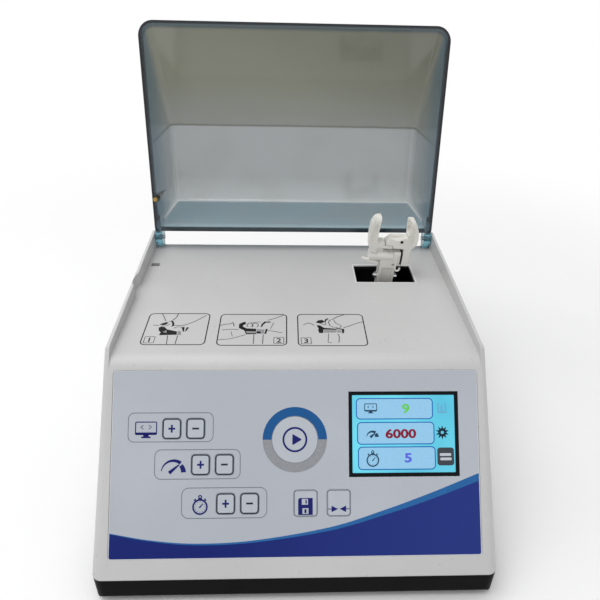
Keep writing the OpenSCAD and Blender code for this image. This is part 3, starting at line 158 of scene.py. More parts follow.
def frame_line(x, y, half_wide, half_high, r, width):
    """The same, given by its middle and half its sizes."""
    return rounded_line(x - half_wide, y - half_high, x + half_wide, y + half_high, r, width)


def moved(points, x, y):
    return [(x + a, y + b) for a, b in points]


def ring(x, y, r, width, steps=64):
    return [circle(x, y, r + width / 2, steps), circle(x, y, r - width / 2, steps)]


def band(x, y, r0, r1, start, end):
    return [arc(x, y, r1, start, end, BAND_STEPS) + arc(x, y, r0, end, start, BAND_STEPS)]


def line(points, width, ends=None):
    """A drawn line through the points; its width may run from one value to another."""
    last = width if ends is None else ends
    left, right = [], []
    for i, (x, y) in enumerate(points):
        a = Vector(points[max(i - 1, 0)])
        b = Vector(points[min(i + 1, len(points) - 1)])
        d = (b - a).normalized()
        w = (width + (last - width) * i / (len(points) - 1)) / 2
        left.append((x - d.y * w, y + d.x * w))
        right.append((x + d.y * w, y - d.x * w))
    return [left + right[::-1]]


def bow(points):
    """Smooth points through the given ones, eight from one to the next."""
    pts = [Vector(p) for p in points]
    ext = [pts[0] * 2 - pts[1]] + pts + [pts[-1] * 2 - pts[-2]]
    made = []
    for i in range(1, len(ext) - 2):
        p0, p1, p2, p3 = ext[i - 1:i + 3]
        for t in (k / 8 for k in range(8)):
            made.append(0.5 * (2 * p1 + (p2 - p0) * t + (2 * p0 - 5 * p1 + 4 * p2 - p3) * t * t
                               + (3 * p1 - p0 - 3 * p2 + p3) * t * t * t))
    return [tuple(p) for p in made + [pts[-1]]]


def box_shape(x0, y0, x1, y1):
    return [[(x0, y0), (x1, y0), (x1, y1), (x0, y1)]]


# Mesh makers
def mesh_of(curve):
    """Turns a curve into a mesh."""
    holder = bpy.data.objects.new("holder", curve)
    mesh = bpy.data.meshes.new_from_object(holder)
    bpy.data.objects.remove(holder)
    bpy.data.curves.remove(curve)
    return mesh


def prism(shape, low, high):
    """Mesh in metres of a flat shape between two heights in millimetres."""
    curve = bpy.data.curves.new("shape", "CURVE")
    curve.dimensions = "2D"
    curve.fill_mode = "BOTH"
    curve.extrude = (high - low) * MM / 2
    for loop in shape:
        spline = curve.splines.new("POLY")
        spline.points.add(len(loop) - 1)
        for point, (x, y) in zip(spline.points, loop):
            point.co = (x * MM, y * MM, 0, 1)
        spline.use_cyclic_u = True
    mesh = mesh_of(curve)
    mesh.transform(Matrix.Translation((0, 0, (high + low) * MM / 2)))
    return mesh


def figures(text, x, y, height, low, high, wide=1.0, weight=0.0):
    """Mesh of plain numbers, its middle at x, y."""
    curve = bpy.data.curves.new("figures", "FONT")
    curve.body = text
    curve.size = height * MM / FIGURE_SHARE
    curve.offset = weight * MM
    curve.extrude = (high - low) * MM / 2
    curve.resolution_u = 4
    mesh = mesh_of(curve)
    mesh.transform(Matrix.Diagonal((wide, 1, 1, 1)))
    co = [v.co for v in mesh.vertices]
    mid = [(min(c[i] for c in co) + max(c[i] for c in co)) / 2 for i in range(2)]
    mesh.transform(Matrix.Translation((x * MM - mid[0], y * MM - mid[1], (high + low) * MM / 2)))
    return mesh


def wire(points, radius, closed=False, rings=2):
    """Mesh of a round wire through points in millimetres."""
    curve = bpy.data.curves.new("wire", "CURVE")
    curve.dimensions = "3D"
    curve.bevel_depth = radius * MM
    curve.bevel_resolution = rings
    curve.use_fill_caps = not closed
    spline = curve.splines.new("POLY")
    spline.points.add(len(points) - 1)
    for point, co in zip(spline.points, points):
        point.co = (*(c * MM for c in co), 1)
    spline.use_cyclic_u = closed
    return mesh_of(curve)


def lathe(profile, steps=48):
    """Mesh turned about the plane's outward axis; profile is closed, as (radius, height)."""
    bm = bmesh.new()
    rings = []
    for r, z in profile:
        if r < 1e-6:
            rings.append([bm.verts.new((0, 0, z * MM))] * steps)
        else:
            rings.append([bm.verts.new((r * MM * math.cos(a), r * MM * math.sin(a), z * MM))
                          for a in (math.tau * i / steps for i in range(steps))])
    for a, b in zip(rings, rings[1:] + rings[:1]):
        for i in range(steps):
            corners = []
            for v in (a[i], a[(i + 1) % steps], b[(i + 1) % steps], b[i]):
                if v not in corners:
                    corners.append(v)
            if len(corners) > 2:
                bm.faces.new(corners)
    mesh = bpy.data.meshes.new("turned")
    bm.to_mesh(mesh)
    bm.free()
    return mesh


def piece(name, meshes, place, body, finish, smooth=0.0):
    """One named object from meshes made on a drawing plane, riding on a body."""
    bm = bmesh.new()
    for mesh in meshes:
        bm.from_mesh(mesh)
        bpy.data.meshes.remove(mesh)
    bmesh.ops.remove_doubles(bm, verts=bm.verts, dist=1e-7)
    bmesh.ops.recalc_face_normals(bm, faces=bm.faces)
    bm.transform(place)
    made = bpy.data.meshes.new(name)
    bm.to_mesh(made)
    bm.free()
    if not len(made.polygons):
        raise RuntimeError(f"{name} came out empty")
    if smooth:
        made.shade_smooth()
        made.set_sharp_from_angle(angle=math.radians(smooth))
    made.materials.append(finish)
    obj = bpy.data.objects.new(name, made)
    bpy.context.scene.collection.objects.link(obj)
    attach(obj, body)
    return obj


def printed(name, shapes, face, material, body="machine", over=0.0):
    """Ink on a face: it stands on it by its thickness, and reaches a little below it."""
    place, depth, slot = face
    top = depth + bpy.context.scene.mixer_prints.thickness / MM + over
    return piece(name, [prism(shape, depth - SUNK, top) for shape in shapes], place, body, material)


# Finishes
def linear(colour):
    """Linear light of a colour as the screen shows it."""
    return [c / 12.92 if c <= 0.04045 else ((c + 0.055) / 1.055) ** 2.4 for c in colour]


def times(colour, factor):
    """A colour made lighter or darker by that factor."""
    return [min(1, c * factor) for c in colour]


class Graph:
    """A node tree, put together from nodes whose inputs are plain values or other nodes' outputs."""

    def __init__(self, tree):
        self.tree = tree

    def join(self, value, socket):
        """Links an output to the socket, or sets the socket to a plain value."""
        if isinstance(value, bpy.types.NodeSocket):
            self.tree.links.new(value, socket)
        else:
            socket.default_value = (*value[:3], 1) if socket.type == "RGBA" else value

    def add(self, kind, *values, **named):
        """A node: the values go to its sockets in order, the named ones to its sockets and settings."""
        made = self.tree.nodes.new(f"ShaderNode{kind}")
        for name, value in named.items():
            label = name.replace("_", " ")
            if label in made.inputs:
                self.join(value, made.inputs[label])
            else:
                setattr(made, name, value)
        for value, socket in zip(values, made.inputs):
            self.join(value, socket)
        return made

    def math(self, operation, *values):
        return self.add("Math", *values, operation=operation).outputs[0]

    def vector(self, operation, *values):
        """A sum with vectors, where a length or a dot product comes out as a number."""
        made = self.add("VectorMath", *values, operation=operation)
        return made.outputs["Value" if operation in ("LENGTH", "DOT_PRODUCT") else "Vector"]

    def share(self, value, low, high, **settings):
        """Where a value lies between two, from 0 to 1."""
        return self.add("MapRange", Value=value, From_Min=low, From_Max=high, **settings).outputs["Result"]

    def ramp(self, factor, stops):
        made = self.add("ValToRGB", factor)
        points = made.color_ramp.elements
        while len(points) < len(stops):
            points.new(0.5)
        for point, (at, colour) in zip(points, stops):
            point.position = at
            point.color = (*colour, 1)
        return made.outputs["Color"]

    def mask(self, factor, start, end, first=0.0, last=1.0):
        """A grey that goes from its first value, at the start, to its last, at the end."""
        return self.ramp(factor, [(start, [first] * 3), (end, [last] * 3)])

    def mix(self, factor, a, b):
        made = self.add("Mix", factor, data_type="RGBA")
        self.join(a, made.inputs[6])
        self.join(b, made.inputs[7])
        return made.outputs[2]

    def blend(self, factor, first, second, out):
        """Shows the first shader, and by the factor the second."""
        self.join(self.add("MixShader", factor, first, second).outputs["Shader"], out.inputs["Surface"])


class Surface(Graph):
    """A node material built in the order a finisher would: colour, sheen, edges, grain."""

    def __init__(self, name, roughness, **sockets):
        self.material = bpy.data.materials.new(name)
        self.material.use_nodes = True
        super().__init__(self.material.node_tree)
        self.shader = self.tree.nodes["Principled BSDF"]
        self.place = self.add("TexCoord").outputs["Object"]
        self.roughness = roughness
        self.shown = self.normal = None
        self.set(Roughness=roughness, **sockets)

    def set(self, **sockets):
        for name, value in sockets.items():
            self.join(value, self.shader.inputs[name.replace("_", " ")])
        return self

    def paint(self, colour):
        """Takes the colour, and keeps it for what comes on top."""
        self.shown = colour
        return self.set(Base_Color=colour)

    def axis(self, name):
        return self.add("SeparateXYZ", self.place).outputs[name]

    def dot(self, direction):
        """How far a spot lies along a direction."""
        return self.vector("DOT_PRODUCT", self.place, direction)

    def noise(self, scale, detail=3.0, stretch=None):
        place = self.add("Mapping", self.place, Scale=stretch).outputs["Vector"] if stretch else self.place
        return self.add("TexNoise", place, Scale=scale, Detail=detail, Roughness=0.55).outputs["Fac"]

    def drift(self, shown, spread, scale, detail=3.0, start=0.35, end=0.65):
        """A colour that drifts a little over the surface."""
        base = linear(shown)
        stops = [(start, times(base, 1 - spread)), (end, times(base, 1 + spread))]
        return self.ramp(self.noise(scale, detail), stops)

    def colour(self, shown, spread, scale):
        return self.paint(self.drift(shown, spread, scale))

    def spots(self, shown, scale, share, soft=0.06, detail=4.0):
        """Spots of another colour over the present one."""
        return self.paint(self.mix(self.mask(self.noise(scale, detail), share, share + soft), self.shown,
                                   linear(shown)))

    def sheen(self, spread, scale):
        """Roughness that drifts about its value."""
        low, high = max(0.02, self.roughness - spread), min(1.0, self.roughness + spread)
        return self.set(Roughness=self.add("MapRange", self.noise(scale), To_Min=low, To_Max=high).outputs["Result"])

    def edges(self, radius):
        """Edges that catch light as if rounded by that many millimetres."""
        self.normal = self.add("Bevel", Radius=radius * MM, samples=4).outputs["Normal"]
        return self.set(Normal=self.normal)

    def grain(self, scale, depth, strength=0.4, stretch=None):
        return self.bump(self.noise(scale, 2.0, stretch), depth, strength)

    def bump(self, height, depth, strength):
        made = self.add("Bump", Strength=strength, Distance=depth * MM, Height=height)
        if self.normal:
            self.join(self.normal, made.inputs["Normal"])
        self.normal = made.outputs["Normal"]
        return self.set(Normal=self.normal)


def ink(name, shown):
    """Printing ink: nearly even, with the slight unevenness of a screen print."""
    made = Surface(name, 0.5, Specular_IOR_Level=0.2).colour(shown, 0.06, 900)
    return made.sheen(0.05, 300).grain(2500, 0.01, 0.2).material


def lit(name, shown, strength, spread=0.04):
    """A colour of the lit screen."""
    made = Surface(name, 0.25, Specular_IOR_Level=0.1)
    made.set(Emission_Color=made.drift(shown, spread, 1400, 1.0, 0.3, 0.7), Emission_Strength=strength)
    return made.set(Base_Color=times(linear(shown), 0.1)).grain(1800, 0.005, 0.15).material


def earlier(name):
    """A material that an operator before this one has made."""
    made = bpy.data.materials.get(name)
    if not made:
        raise RuntimeError(f"{name} isn't there yet: the operators run in the order of the panel")
    return made


def dress(names, surface, smooth=30.0):
    """Gives CAD nodes a finish; their shapes stay as packed."""
    for name in names.split():
        mesh = NODES[name].data
        mesh.materials.clear()
        mesh.materials.append(surface.material)
        mesh.shade_smooth()
        mesh.set_sharp_from_angle(angle=math.radians(smooth))


def colour_prop(name, description, default):
    return FloatVectorProperty(name=name, description=description, subtype="COLOR", size=3, min=0, max=1,
                               default=default)


def length_prop(name, description, default):
    return FloatProperty(name=name, description=description, default=default, min=0, unit="LENGTH")


# Settings that a user would change
class MIXER_PG_shells(bpy.types.PropertyGroup):
    """Colours of the mouldings."""
    housing: colour_prop("Housing", "Colour of the top housing", (0.765, 0.765, 0.765))
    tray: colour_prop("Tray", "Colour of the base tray", (0.045, 0.045, 0.052))
    overlay: colour_prop("Overlay", "Colour of the keypad film", (0.695, 0.715, 0.75))
    bezel: colour_prop("Bezel", "Colour of the screen's border", (0.02, 0.03, 0.05))
    edge: length_prop("Edge rounding", "Rounding that the edges of mouldings show", 0.0005)


class MIXER_PG_prints(bpy.types.PropertyGroup):
    """Inks and lines of the prints."""
    navy: colour_prop("Navy", "Ink of signs and pictures on the keypad", (0.07, 0.09, 0.40))
    slate: colour_prop("Slate", "Ink of the key outlines", (0.14, 0.17, 0.23))
    pale: colour_prop("Pale line", "Ink of the outlines round groups of keys", (0.46, 0.48, 0.52))
    wave: colour_prop("Wave", "Ink of the field along the panel's foot", (0.06, 0.125, 0.42))
    crest: colour_prop("Crest", "Ink of the stripe along the wave's top", (0.15, 0.39, 0.63))
    ring_blue: colour_prop("Ring, upper", "Ink of the upper half of the ring", (0.09, 0.33, 0.56))
    ring_grey: colour_prop("Ring, lower", "Ink of the lower half of the ring", (0.57, 0.58, 0.60))
    black: colour_prop("Black", "Ink of the pictures on the deck", (0.06, 0.06, 0.07))
    thickness: length_prop("Ink thickness", "Thickness of a print", 0.00004)


class MIXER_PG_screen(bpy.types.PropertyGroup):
    """The lit screen."""
    ground: colour_prop("Ground", "Ground colour of the screen", (0.34, 0.76, 0.88))
    ground_bright: colour_prop("Bright ground", "Ground colour where the screen is brightest", (0.44, 0.87, 0.95))
    row: colour_prop("Row", "Colour of a row's field", (0.58, 0.78, 0.91))
    frame: colour_prop("Row frame", "Colour of a row's frame", (0.10, 0.38, 0.68))
    program: StringProperty(name="Program", description="Number shown in the upper row", default="9")
    speed: StringProperty(name="Speed", description="Number shown in the middle row", default="6000")
    time: StringProperty(name="Time", description="Number shown in the lower row", default="5")
    strength: FloatProperty(name="Brightness", description="Brightness of the screen", default=0.92, min=0, max=3)


class MIXER_PG_lid(bpy.types.PropertyGroup):
    """The tinted lid."""
    roof: colour_prop("Roof", "Tint of the roof", (0.665, 0.685, 0.69))
    front: colour_prop("Front slope", "Tint of the yellowed front slope", (0.56, 0.565, 0.51))
    rear: colour_prop("Rear wall", "Tint of the rear wall", (0.26, 0.41, 0.49))
    side: colour_prop("Side walls", "Tint of the side walls", (0.335, 0.435, 0.50))
    rim: colour_prop("Rim", "Colour where light runs along inside the rim", (0.02, 0.045, 0.09))
    clear: FloatProperty(name="Clearness", description="Share of the light that goes through", default=0.78,
                         min=0, max=1)
    roughness: FloatProperty(name="Roughness", description="Roughness of the surface", default=0.10, min=0, max=1)


class MIXER_PG_fork(bpy.types.PropertyGroup):
    """The capsule fork and what drives it."""
    plastic: colour_prop("Plastic", "Colour of the fork's mouldings", (0.89, 0.885, 0.86))
    turns: IntProperty(name="Spring turns", description="Turns of the jaw spring", default=9, min=3, max=30)
    wire: length_prop("Spring wire", "Radius of the spring's wire", 0.0003)
    copper: colour_prop("Copper", "Colour of the lacquered winding wire", (0.72, 0.40, 0.20))


class MIXER_PG_stage(bpy.types.PropertyGroup):
    """Floor, lights and camera."""
    key_power: FloatProperty(name="Key light", description="Power of the large front light", default=9.6, min=0,
                             unit="POWER")
    fill_power: FloatProperty(name="Fill light", description="Power of the side light", default=1.6, min=0,
                              unit="POWER")
    sky: FloatProperty(name="Sky", description="Brightness of the even light from all round", default=0.62,
                       min=0, max=3)
    floor: colour_prop("Floor", "Colour of the floor", (0.97, 0.97, 0.97))
    lens: FloatProperty(name="Lens", description="Focal length of the camera in millimetres", default=34.494,
                        min=5, max=200)


# Places on the panel in millimetres: across, and up the slope from the fold
START, RING = (-1.3, -45), (12.9, 17.8)
SMALL_KEYS = {
    "key_program_up": (-68.9, -38.7), "key_program_down": (-55.9, -38.7),
    "key_speed_up": (-52.9, -58.2), "key_speed_down": (-39.9, -58.2),
    "key_timer_up": (-39.0, -79.1), "key_timer_down": (-26.0, -79.1),
}
WIDE_KEYS = {"key_save": (4.6, -79.3), "key_reset": (22.8, -79.3)}
# Outlines: half the width and height, corner radius, line width
SMALL_LINE, WIDE_LINE, NUMBER_BOX = (4.7, 5.2, 1.7, 0.72), (6.1, 6.7, 1.5, 0.42), (2.9, 3.1, 0.4, 0.35)
PLUS_HALF, PLUS_WIDE, PLUS_TALL = 0.5, 1.85, 2.1
PLUS = [(-PLUS_HALF, PLUS_HALF), (-PLUS_WIDE, PLUS_HALF), (-PLUS_WIDE, -PLUS_HALF), (-PLUS_HALF, -PLUS_HALF),
        (-PLUS_HALF, -PLUS_TALL), (PLUS_HALF, -PLUS_TALL), (PLUS_HALF, -PLUS_HALF), (PLUS_WIDE, -PLUS_HALF),
        (PLUS_WIDE, PLUS_HALF), (PLUS_HALF, PLUS_HALF), (PLUS_HALF, PLUS_TALL), (-PLUS_HALF, PLUS_TALL)]
GROUPS = [(-92.6, -45.8, -46.3, -30.1, 3.2), (-77.8, -65.8, -31.3, -50.1, 3.4), (-62.8, -86.7, -16.6, -70.6, 3.8)]
MARGIN = (-101.3, -107.75, 101.3, -7.05, 1.3)
WAVE_TOP = [(-101.4, -94.0), (-80, -97.8), (-55.1, -99.9), (-23.4, -98.6), (17.8, -92.2), (47.3, -83.6),
            (73.5, -74.6), (101.4, -63.9)]
WAVE_CREST_LOW = [(-101.4, -94.4), (-80, -98.4), (-55.1, -100.7), (-23.4, -99.7), (17.8, -94.0), (47.3, -86.2),
                  (73.5, -78.0), (101.4, -68.0)]
WAVE_FOOT, WAVE_CORNER = -107.6, 1.8
# Pictures of the three settings: place, size and line width
FILM_MONITOR, SCREEN_MONITOR = (-82.9, -39.35, 11.4, 8.6, 0.55), (41.1, -28.3, 6.8, 5.2, 0.45)
FILM_GAUGE, SCREEN_GAUGE = (-67.7, -59.3, 6.5, 1.0), (41.8, -42.6, 3.1, 0.8)
FILM_STOPWATCH, SCREEN_STOPWATCH = (-52.85, -80.7, 3.75, 0.9), (42.0, -56.7, 3.2, 0.72)
SCREEN = (30.7, -63.5, 88.3, -20.9)
ROWS = [(33.1, -34.1, 76.0, -22.8), (33.6, -47.9, 76.6, -36.0), (34.0, -61.7, 77.0, -49.5)]
# Numbers on the screen: the setting that gives it, place, height, material and colour
NUMBERS = [("program", 60.9, -28.4, 4.7, "screen_green", (0.42, 0.79, 0.38)),
           ("speed", 57.9, -42.2, 4.6, "screen_red", (0.52, 0.10, 0.18)),
           ("time", 61.8, -55.5, 4.7, "screen_violet", (0.36, 0.40, 0.86))]
# Places on the deck: across, and back from the fold
PICTURES = [(-90.2, 12.6, -53.4, 45.6), (-46.4, 12.0, -5.9, 44.8), (0.9, 11.6, 41.4, 45.0)]
# Outline of the deck's opening, just outside its bevel, where a painted highlight runs round it
OPENING = (41.9, 85.9, 83.9, 111.9)
# Dark shapes of the pictures, from the picture's lower left corner: the holder with its claws
HOLDERS = [
    [[(7.8, 17.6), (9.1, 18.6), (11.3, 18.0), (12.9, 15.6), (19.2, 13.4), (19.6, 10.0), (13.5, 9.8), (9.3, 9.6),
      (9.8, 12.4), (8.2, 14.6)], [(7.6, 20.7), (9.4, 22.3), (11.4, 23.4), (12.6, 22.3), (11.5, 20.7), (9.7, 20.1)],
     [(13.9, 24.8), (15.0, 25.0), (16.2, 22.3), (16.6, 19.6), (15.0, 18.4), (15.3, 21.0)],
     [(21.3, 17.9), (23.0, 18.1), (23.5, 13.3), (22.7, 13.3)],
     [(24.3, 17.9), (25.8, 17.6), (24.4, 13.4), (23.9, 13.6)]],
    [[(11.6, 21.9), (13.2, 23.4), (15.2, 24.7), (15.9, 22.3), (14.0, 20.6), (14.3, 19.1), (16.4, 17.3),
      (22.2, 16.9), (22.4, 11.3), (16.5, 11.1), (15.2, 15.1), (11.8, 17.7)],
     [(24.8, 19.0), (25.3, 22.0), (27.0, 24.8), (30.8, 24.7), (30.6, 23.7), (27.8, 23.6), (26.2, 21.2),
      (25.8, 19.0)], [(28.0, 16.7), (29.2, 16.5), (28.3, 11.6), (27.2, 11.7)]],
    [[(11.1, 24.2), (12.6, 26.6), (15.3, 27.2), (16.7, 24.8), (14.6, 23.5), (12.8, 23.4)],
     [(11.4, 21.1), (13.5, 21.1), (15.9, 18.3), (23.5, 17.4), (23.3, 16.3), (15.3, 16.6), (15.1, 13.0),
      (12.8, 12.8), (12.1, 15.4), (12.5, 17.7)],
     [(16.3, 25.2), (17.1, 27.8), (18.9, 29.1), (19.1, 28.1), (17.9, 27.0), (17.2, 25.1)],
     [(23.3, 18.3), (28.0, 17.0), (27.7, 16.2), (23.4, 17.1)],
     [(26.5, 16.6), (28.0, 16.8), (27.5, 12.8), (26.3, 12.8)]],
]
# Grey shapes of the pictures, from the same corner
SHADES = [
    [[(19.6, 13.8), (21.4, 14.0), (22.3, 9.8), (19.9, 9.8)], [(10.8, 12.8), (12.8, 14.8), (13.4, 11.8)]],
    [[(22.6, 16.4), (27.2, 16.2), (27.0, 11.8), (22.7, 11.5)],
     [(16.0, 14.4), (25.0, 13.9), (25.0, 12.2), (16.8, 12.2)]],
    [[(15.5, 16.2), (23.3, 15.9), (23.1, 13.5), (15.5, 13.2)],
     [(23.7, 16.0), (26.1, 15.8), (25.9, 13.4), (23.5, 13.4)]],
]
# Lines of the pictures and their widths, from the same corner: stem, fingers and capsule
STROKES = [
    [([(14.4, 9.2), (14.8, 5.4), (15.2, 0.6)], 0.5), ([(20.3, 9.2), (20.2, 5.4), (20.1, 0.6)], 0.5),
     ([(7.3, 32.6), (9.0, 29.0), (10.6, 24.7)], 0.5), ([(17.1, 32.6), (16.5, 29.0), (15.0, 25.7)], 0.6),
     ([(34.6, 31.0), (30.0, 25.9), (25.7, 22.2), (21.7, 19.9), (16.6, 19.9)], 0.5),
     ([(3.9, 20.2), (7.4, 19.8)], 0.5), ([(9.0, 19.0), (12.2, 19.7), (13.8, 21.5)], 0.4),
     ([(16.8, 16.8), (18.6, 18.2), (21.6, 18.0)], 0.4), ([(11.6, 23.4), (13.2, 24.0), (14.4, 25.4)], 0.35)],
    [([(21.1, 10.8), (21.2, 6.0), (21.2, 1.4)], 0.5), ([(26.6, 10.8), (26.6, 6.0), (26.5, 1.4)], 0.5),
     ([(0.5, 20.4), (3.2, 21.7), (6.3, 22.2), (7.8, 23.5), (8.8, 19.5)], 0.55),
     ([(1.8, 15.7), (7.4, 16.3), (11.8, 16.2)], 0.45), ([(0.5, 5.6), (6.8, 6.4), (11.8, 8.5), (16.1, 10.7)], 0.45),
     ([(7.5, 14.0), (8.0, 11.0), (8.6, 8.8)], 0.35), ([(32.6, 23.6), (31.6, 19.9), (30.8, 17.1)], 0.4),
     ([(29.0, 26.3), (33.2, 28.4), (36.5, 30.6), (39.2, 32.4)], 0.5),
     ([(29.1, 15.2), (32.5, 14.3), (38.0, 12.6)], 0.45), ([(18.8, 23.4), (21.7, 24.0), (24.9, 24.2)], 0.4),
     ([(17.0, 19.0), (16.5, 21.2), (18.2, 23.2), (20.0, 21.2), (19.2, 18.8)], 0.5),
     ([(20.2, 19.0), (19.8, 21.2), (21.5, 23.2), (23.3, 21.2), (22.6, 18.8)], 0.5)],
    [([(18.2, 12.2), (17.8, 7.4), (17.5, 3.4), (19.7, 3.0)], 0.4), ([(23.7, 12.0), (24.3, 9.0), (23.7, 3.0)], 0.5),
     ([(20.4, 27.3), (19.0, 24.6), (19.6, 20.8)], 0.55), ([(29.3, 33.1), (24.8, 30.6), (21.2, 27.3)], 0.6),
     ([(22.4, 26.7), (23.5, 23.3), (26.5, 20.4), (25.0, 18.3)], 0.45),
     ([(40.1, 25.2), (34.7, 22.5), (31.3, 20.4), (27.6, 18.4)], 0.5),
     ([(3.4, 21.6), (6.1, 23.5), (8.0, 22.9), (10.0, 21.1)], 0.5),
     ([(13.5, 23.4), (16.7, 21.8), (16.9, 25.0)], 0.45), ([(19.5, 20.8), (21.7, 19.0), (24.3, 19.0)], 0.4)],
]


def monitor(x, y, w, h, width):
    """Line picture of a screen on its stand, two angle marks on it."""
    low, mid = y - h * 0.28, y + h * 0.18
    shapes = [rounded_line(x - w / 2, low, x + w / 2, y + h / 2, 0.5, width),
              box_shape(x - w / 2, low, x + w / 2, low + h * 0.13),
              box_shape(x - w * 0.13, low - h * 0.16, x + w * 0.13, low),
              box_shape(x - w * 0.22, low - h * 0.23, x + w * 0.22, low - h * 0.13)]
    for side in (-1, 1):
        tip, back = x + side * w * 0.26, x + side * w * 0.13
        shapes.append(line([(back, mid + h * 0.12), (tip, mid), (back, mid - h * 0.12)], width * 0.8))
    return shapes


def gauge(x, y, r, width):
    """Line picture of a speed gauge: an arch that swells to the right, and its needle."""
    y = y - r * 0.48
    thin = [spot(x, y, r, a) for a in range(172, 46, -6)]
    thick = [(x + r * 0.86 * math.cos(math.radians(a)), y + r * 0.9 * math.sin(math.radians(a)))
             for a in range(42, 1, -4)]
    return [line(thin, width * 0.4, width * 1.9), line(thick, width * 2.3, width * 2.7),
            line([(x - r * 0.34, y - r * 0.02), (x + r * 0.48, y + r * 0.66)], width * 2.0, width * 0.7)]


def stopwatch(x, y, r, width):
    """Line picture of a stopwatch."""
    shapes = [ring(x, y, r, width), ring(x, y + r * 1.42, r * 0.2, width * 0.7, 20),
              box_shape(x - r * 0.28, y + r * 1.02, x + r * 0.28, y + r * 1.22),
              line([(x - r * 0.1, y - r * 0.12), (x + r * 0.42, y + r * 0.46)], width * 0.9, width * 0.5)]
    for side in (-1, 1):
        shapes.append(line([(x + side * r * 0.62, y + r * 1.12), (x + side * r * 0.86, y + r * 0.9)], width * 0.9))
    return shapes + [line([spot(x, y, r * 0.68, a), spot(x, y, r * 0.8, a)], width * 0.35) for a in range(0, 360, 30)]


def disk(x, y, w, h):
    """Filled picture of a storage disk with its label and shutter."""
    def at(x0, y0, x1, y1):
        return box_shape(x + w / 2 * x0, y + h / 2 * y0, x + w / 2 * x1, y + h / 2 * y1)[0]
    outline = at(-1, -1, 1, 1)
    outline[3:] = [(x - w / 2 + 0.8, y + h / 2), (x - w / 2, y + h / 2 - 0.8)]
    return [[outline, at(-0.5, 0.2, 0.35, 0.9), at(-0.42, -0.88, 0.42, -0.2)],
            [at(-0.14, -0.78, 0.14, -0.34)], [at(0.0, 0.35, 0.18, 0.78)]]


def meeting_arrows(x, y):
    """Two arrows that point at each other."""
    return [box_shape(x - 6.0, y - 0.2, x - 3.9, y + 0.2), box_shape(x + 3.9, y - 0.2, x + 6.0, y + 0.2)] + [
        [[(x + side * 4.0, y + 1.7), (x + side * 4.0, y - 1.7), (x + side * 0.45, y)]] for side in (-1, 1)]


def rounded_triangle(x, y, r):
    return [p for turn in (0, 120, 240) for p in arc(*spot(x, y, r - 0.5, turn), 0.4, turn - 60, turn + 60, 5)]


def side_signs():
    """What the screen shows right of its rows: tag, layer, material, colour and shapes."""
    strokes = [line([(79.2, -25.2), (79.2, -30.2)], 0.7), line([(81.2, -26.6), (81.2, -30.4)], 1.0),
               line([(83.4, -25.4), (83.4, -30.4)], 0.8), line([(78.8, -30.5), (84.0, -30.6)], 0.8)]
    x, y = 81.3, -41.7
    sun = [[spot(x, y, 3.9 if k % 2 else 2.1, 18 * k) for k in range(20)], circle(x, y, 0.9, 16)]
    bars = [[rounded(79.6, -54.6, 86.0, -53.1, 0.5)], [rounded(79.8, -57.0, 86.2, -55.5, 0.5)]]
    return (("bars", 2, "screen_faint", (0.42, 0.66, 0.80), strokes),
            ("sun", 2, "screen_sun_dark", (0.10, 0.15, 0.22), [sun]),
            ("pad", 2, "screen_pad", (0.25, 0.27, 0.30), [[rounded(78.2, -59.8, 87.6, -50.0, 1.6)]]),
            ("pad_bars", 3, "screen_pale", (0.74, 0.76, 0.80), bars))


def cross(x, y, reach, half):
    """The middle and the four slots of a cross recess, narrower towards their ends."""
    return [box_shape(x - half, y - half, x + half, y + half)] + [
        [[(x + (a - b) * half, y + (a + b) * half), (x + (a + b) * half, y + (b - a) * half),
          (x + a * reach + b * half * 0.7, y + b * reach - a * half * 0.7),
          (x + a * reach - b * half * 0.7, y + b * reach + a * half * 0.7)]]
        for a, b in ((1, 0), (0, 1), (-1, 0), (0, -1))]


def bearing_meshes(x, width, inner, outer):
    """Two races and their balls, along the plane's outward axis from x."""
    race, ball = (outer - inner) * 0.26, (outer - inner) * 0.27
    mid = (outer + inner) / 2
    made = [lathe([(a, x), (b, x), (b, x + width), (a, x + width)])
            for a, b in ((inner, inner + race), (outer - race, outer))]
    profile = [(ball * math.sin(math.pi * i / 10), -ball * math.cos(math.pi * i / 10)) for i in range(11)]
    count = int(math.tau * mid / (ball * 2.5))
    for k in range(count):
        mesh = lathe(profile, 14)
        mesh.transform(Matrix.Translation(Vector((*spot(0, 0, mid, 360 * k / count), x + width / 2)) * MM))
        made.append(mesh)
    return made


class MixerOperator:
    bl_options = {"REGISTER", "UNDO"}


